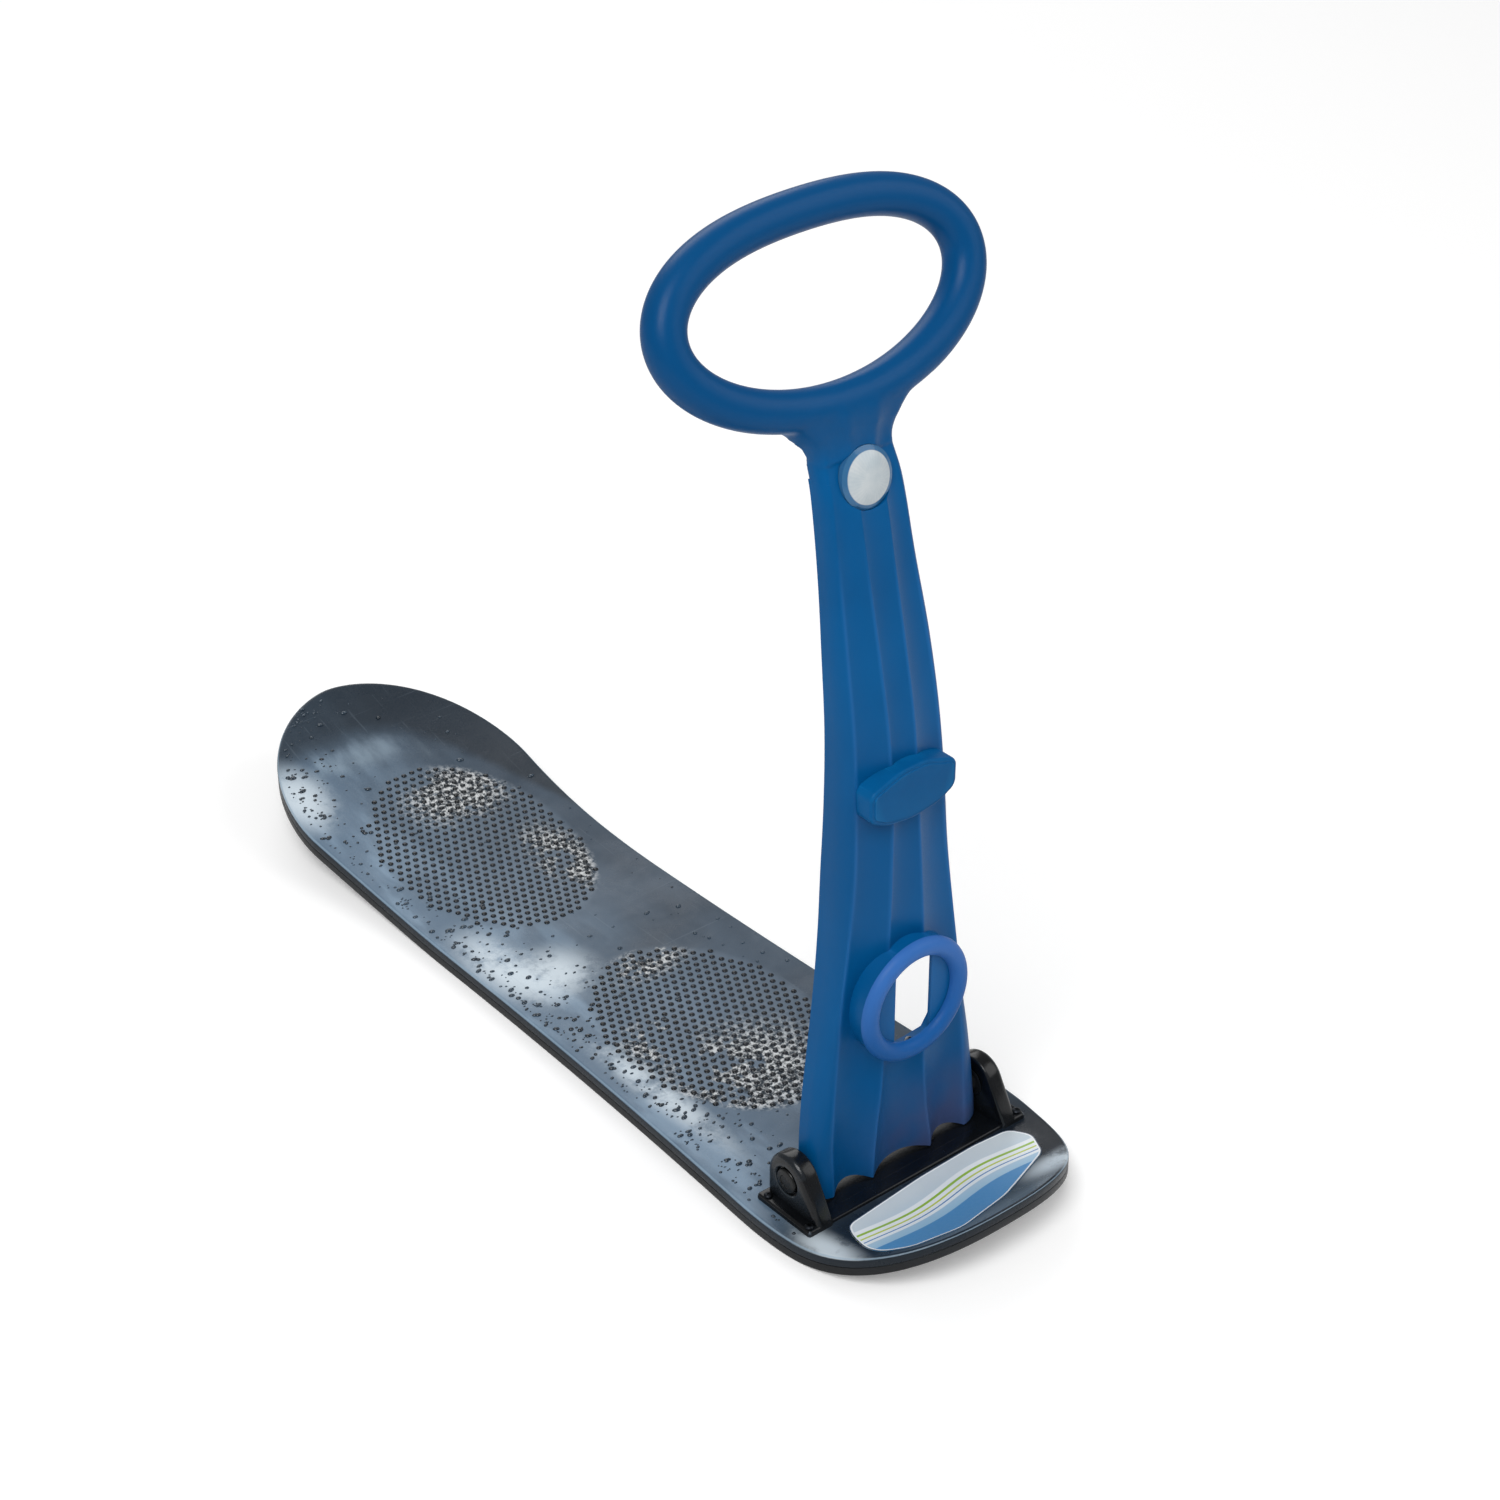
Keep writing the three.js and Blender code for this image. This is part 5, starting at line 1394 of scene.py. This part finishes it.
def lens_plastic():
    """Milky lens with faint rays from its middle and a rim in the column's blue."""
    clear = Finish("lens_finish", 500.0, 60.0)
    centred = clear.mapped(Location=(0.0, -column_at(LAMP_Z)["front"], -LAMP_Z))
    sides = add(clear.tree, "ShaderNodeSeparateXYZ", {"Vector": centred}).outputs
    rays = clear.sum("SINE", clear.times(clear.sum("ARCTAN2", sides["Z"], sides["X"]), 36.0))
    clear.start((206, 218, 224), (228, 234, 236))
    clear.lay(clear.ramp(rays, -1.0, 1.0, 0.0, 0.12), (176, 196, 212))
    rim = LENS_RADIUS - LENS_RIM
    clear.lay(clear.ramp(clear.length(centred), rim - 0.0004, rim + 0.0004), (58, 118, 166))
    clear.set(Transmission_Weight=0.22, IOR=1.49)
    return clear.done((0.12, 0.22), 0.5, 0.06, 0.0003, rays)


# The label's waves: how far along the board each lies, half its width, and its colour
LABEL_WAVES = (
    (-0.397, 0.0016, (150, 190, 60)), (-0.4035, 0.0011, (190, 206, 70)), (-0.409, 0.0008, (70, 130, 186)),
)


def label_print():
    """A plain winter print: pale ground, a blue front band, leaf-green waves and a two-line border."""
    sheet = Finish("label_finish", 300.0, 30.0)
    sheet.start((206, 216, 222), (150, 196, 226), sheet.ramp(sheet.y, -0.375, -0.44))
    swell = sheet.times(sheet.sum("SINE", sheet.times(sheet.x, 42.0)), 0.0045)
    height = sheet.sum("SUBTRACT", sheet.y, swell)

    def gap_to(middle):
        return sheet.sum("ABSOLUTE", sheet.sum("SUBTRACT", height, middle))

    sheet.lay(sheet.ramp(gap_to(-0.402), 0.012, 0.0105), (238, 243, 246))
    sheet.lay(sheet.ramp(height, -0.4225, -0.4235), (84, 146, 198))
    for middle, width, shade in LABEL_WAVES:
        sheet.lay(sheet.ramp(gap_to(middle), width, width * 0.7), shade)
    border = sheet.written("border")
    sheet.lay(sheet.ramp(border, 0.2, 0.3), (240, 244, 246))
    sheet.lay(sheet.ramp(border, 0.7, 0.8), (40, 60, 84))
    sheet.lay(sheet.drift, (120, 140, 160), 0.08)
    return sheet.done((0.3, 0.42), 0.5, 0.06, 0.0003)


def paint_solids():
    """Finishes for the solids that show as they are: axle, lamp, circuit and battery."""
    steel = metal("axle_steel_finish", (168, 171, 174), 0.28)
    case = moulded_plastic("case_finish", (34, 35, 37), (20, 21, 22), (0.4, 0.55), 0.2)
    finishes = {
        "screw_steel": steel, "cell_steel": steel,
        "contact_brass": metal("contact_brass_finish", (201, 168, 90), 0.32),
        "circuit_green": moulded_plastic("circuit_finish", (36, 112, 64), (26, 92, 50), (0.35, 0.5)),
    }
    for word, base, deep in (
        ("red", (211, 40, 40), (180, 26, 26)),
        ("green", (52, 175, 64), (34, 150, 48)),
        ("blue", (48, 112, 214), (30, 92, 190)),
    ):
        finishes["led_" + word] = moulded_plastic("led_%s_finish" % word, base, deep, (0.1, 0.2), 0.02)
    slots = {part["node"]: part["material_slot"] for part in frame["record"]["subparts"]}
    for name, node in frame["nodes"].items():
        if not node.hide_render:
            node.data.materials.clear()
            node.data.materials.append(finishes.get(slots[name], case))


# Stage


def make_stage():
    """A white floor that keeps the shadow, soft lamps and the photograph's camera."""
    bm = bmesh.new()
    bmesh.ops.create_grid(bm, x_segments=1, y_segments=1, size=8.0)
    floor = new_piece("studio_floor", bm)
    material, tree, shader = new_material("floor_finish")
    seen = add(tree, "ShaderNodeLightPath").outputs["Is Camera Ray"]
    glow = result_of(tree, "MULTIPLY", seen, 0.24)
    for name, value in (
        ("Base Color", (0.88, 0.88, 0.88, 1.0)), ("Roughness", 0.9), ("Specular IOR Level", 0.1),
        ("Emission Color", (1.0, 1.0, 1.0, 1.0)), ("Emission Strength", glow),
    ):
        feed(tree, shader.inputs[name], value)
    floor.data.materials.append(material)
    world = bpy.data.worlds.new("studio")
    bpy.context.scene.world = world
    world.use_nodes = True
    sky = world.node_tree
    seen = add(sky, "ShaderNodeLightPath").outputs["Is Camera Ray"]
    strength = result_of(sky, "MULTIPLY_ADD", seen, 0.7, 0.3)
    background = sky.nodes["Background"]
    background.inputs["Color"].default_value = (1.0, 1.0, 1.0, 1.0)
    sky.links.new(strength, background.inputs["Strength"])
    for name, place, size, power in (
        ("key_softbox", (-2.6, -1.8, 4.6), 3.0, 180.0),
        ("fill_softbox", (3.2, -3.2, 3.4), 3.4, 62.0),
        ("rear_softbox", (1.8, 3.8, 3.2), 3.4, 70.0),
    ):
        lamp = bpy.data.lights.new(name, "AREA")
        lamp.size = size
        lamp.energy = power
        holder = linked(name, lamp)
        holder.location = place
        towards = Vector((0, -0.05, 0.25)) - Vector(place)
        holder.rotation_euler = towards.to_track_quat("-Z", "Y").to_euler()
    lens = bpy.data.cameras.new("photo_camera")
    lens.sensor_width = 36.0
    lens.lens = CAMERA_LENS
    camera = linked("photo_camera", lens)
    camera.location = CAMERA_PLACE
    camera.rotation_euler = (-CAMERA_BACK).to_track_quat("-Z", "Y").to_euler()
    bpy.context.scene.camera = camera
    bpy.context.scene.view_settings.view_transform = "Standard"


make_stage()
make_board()
make_studs()
make_beads()
make_label()
make_bracket()
make_caps()
make_screws()
handle_finish = handle_plastic()
make_column(handle_finish)
make_grip(handle_finish)
make_collar()
make_badge()
make_lens()
paint_solids()
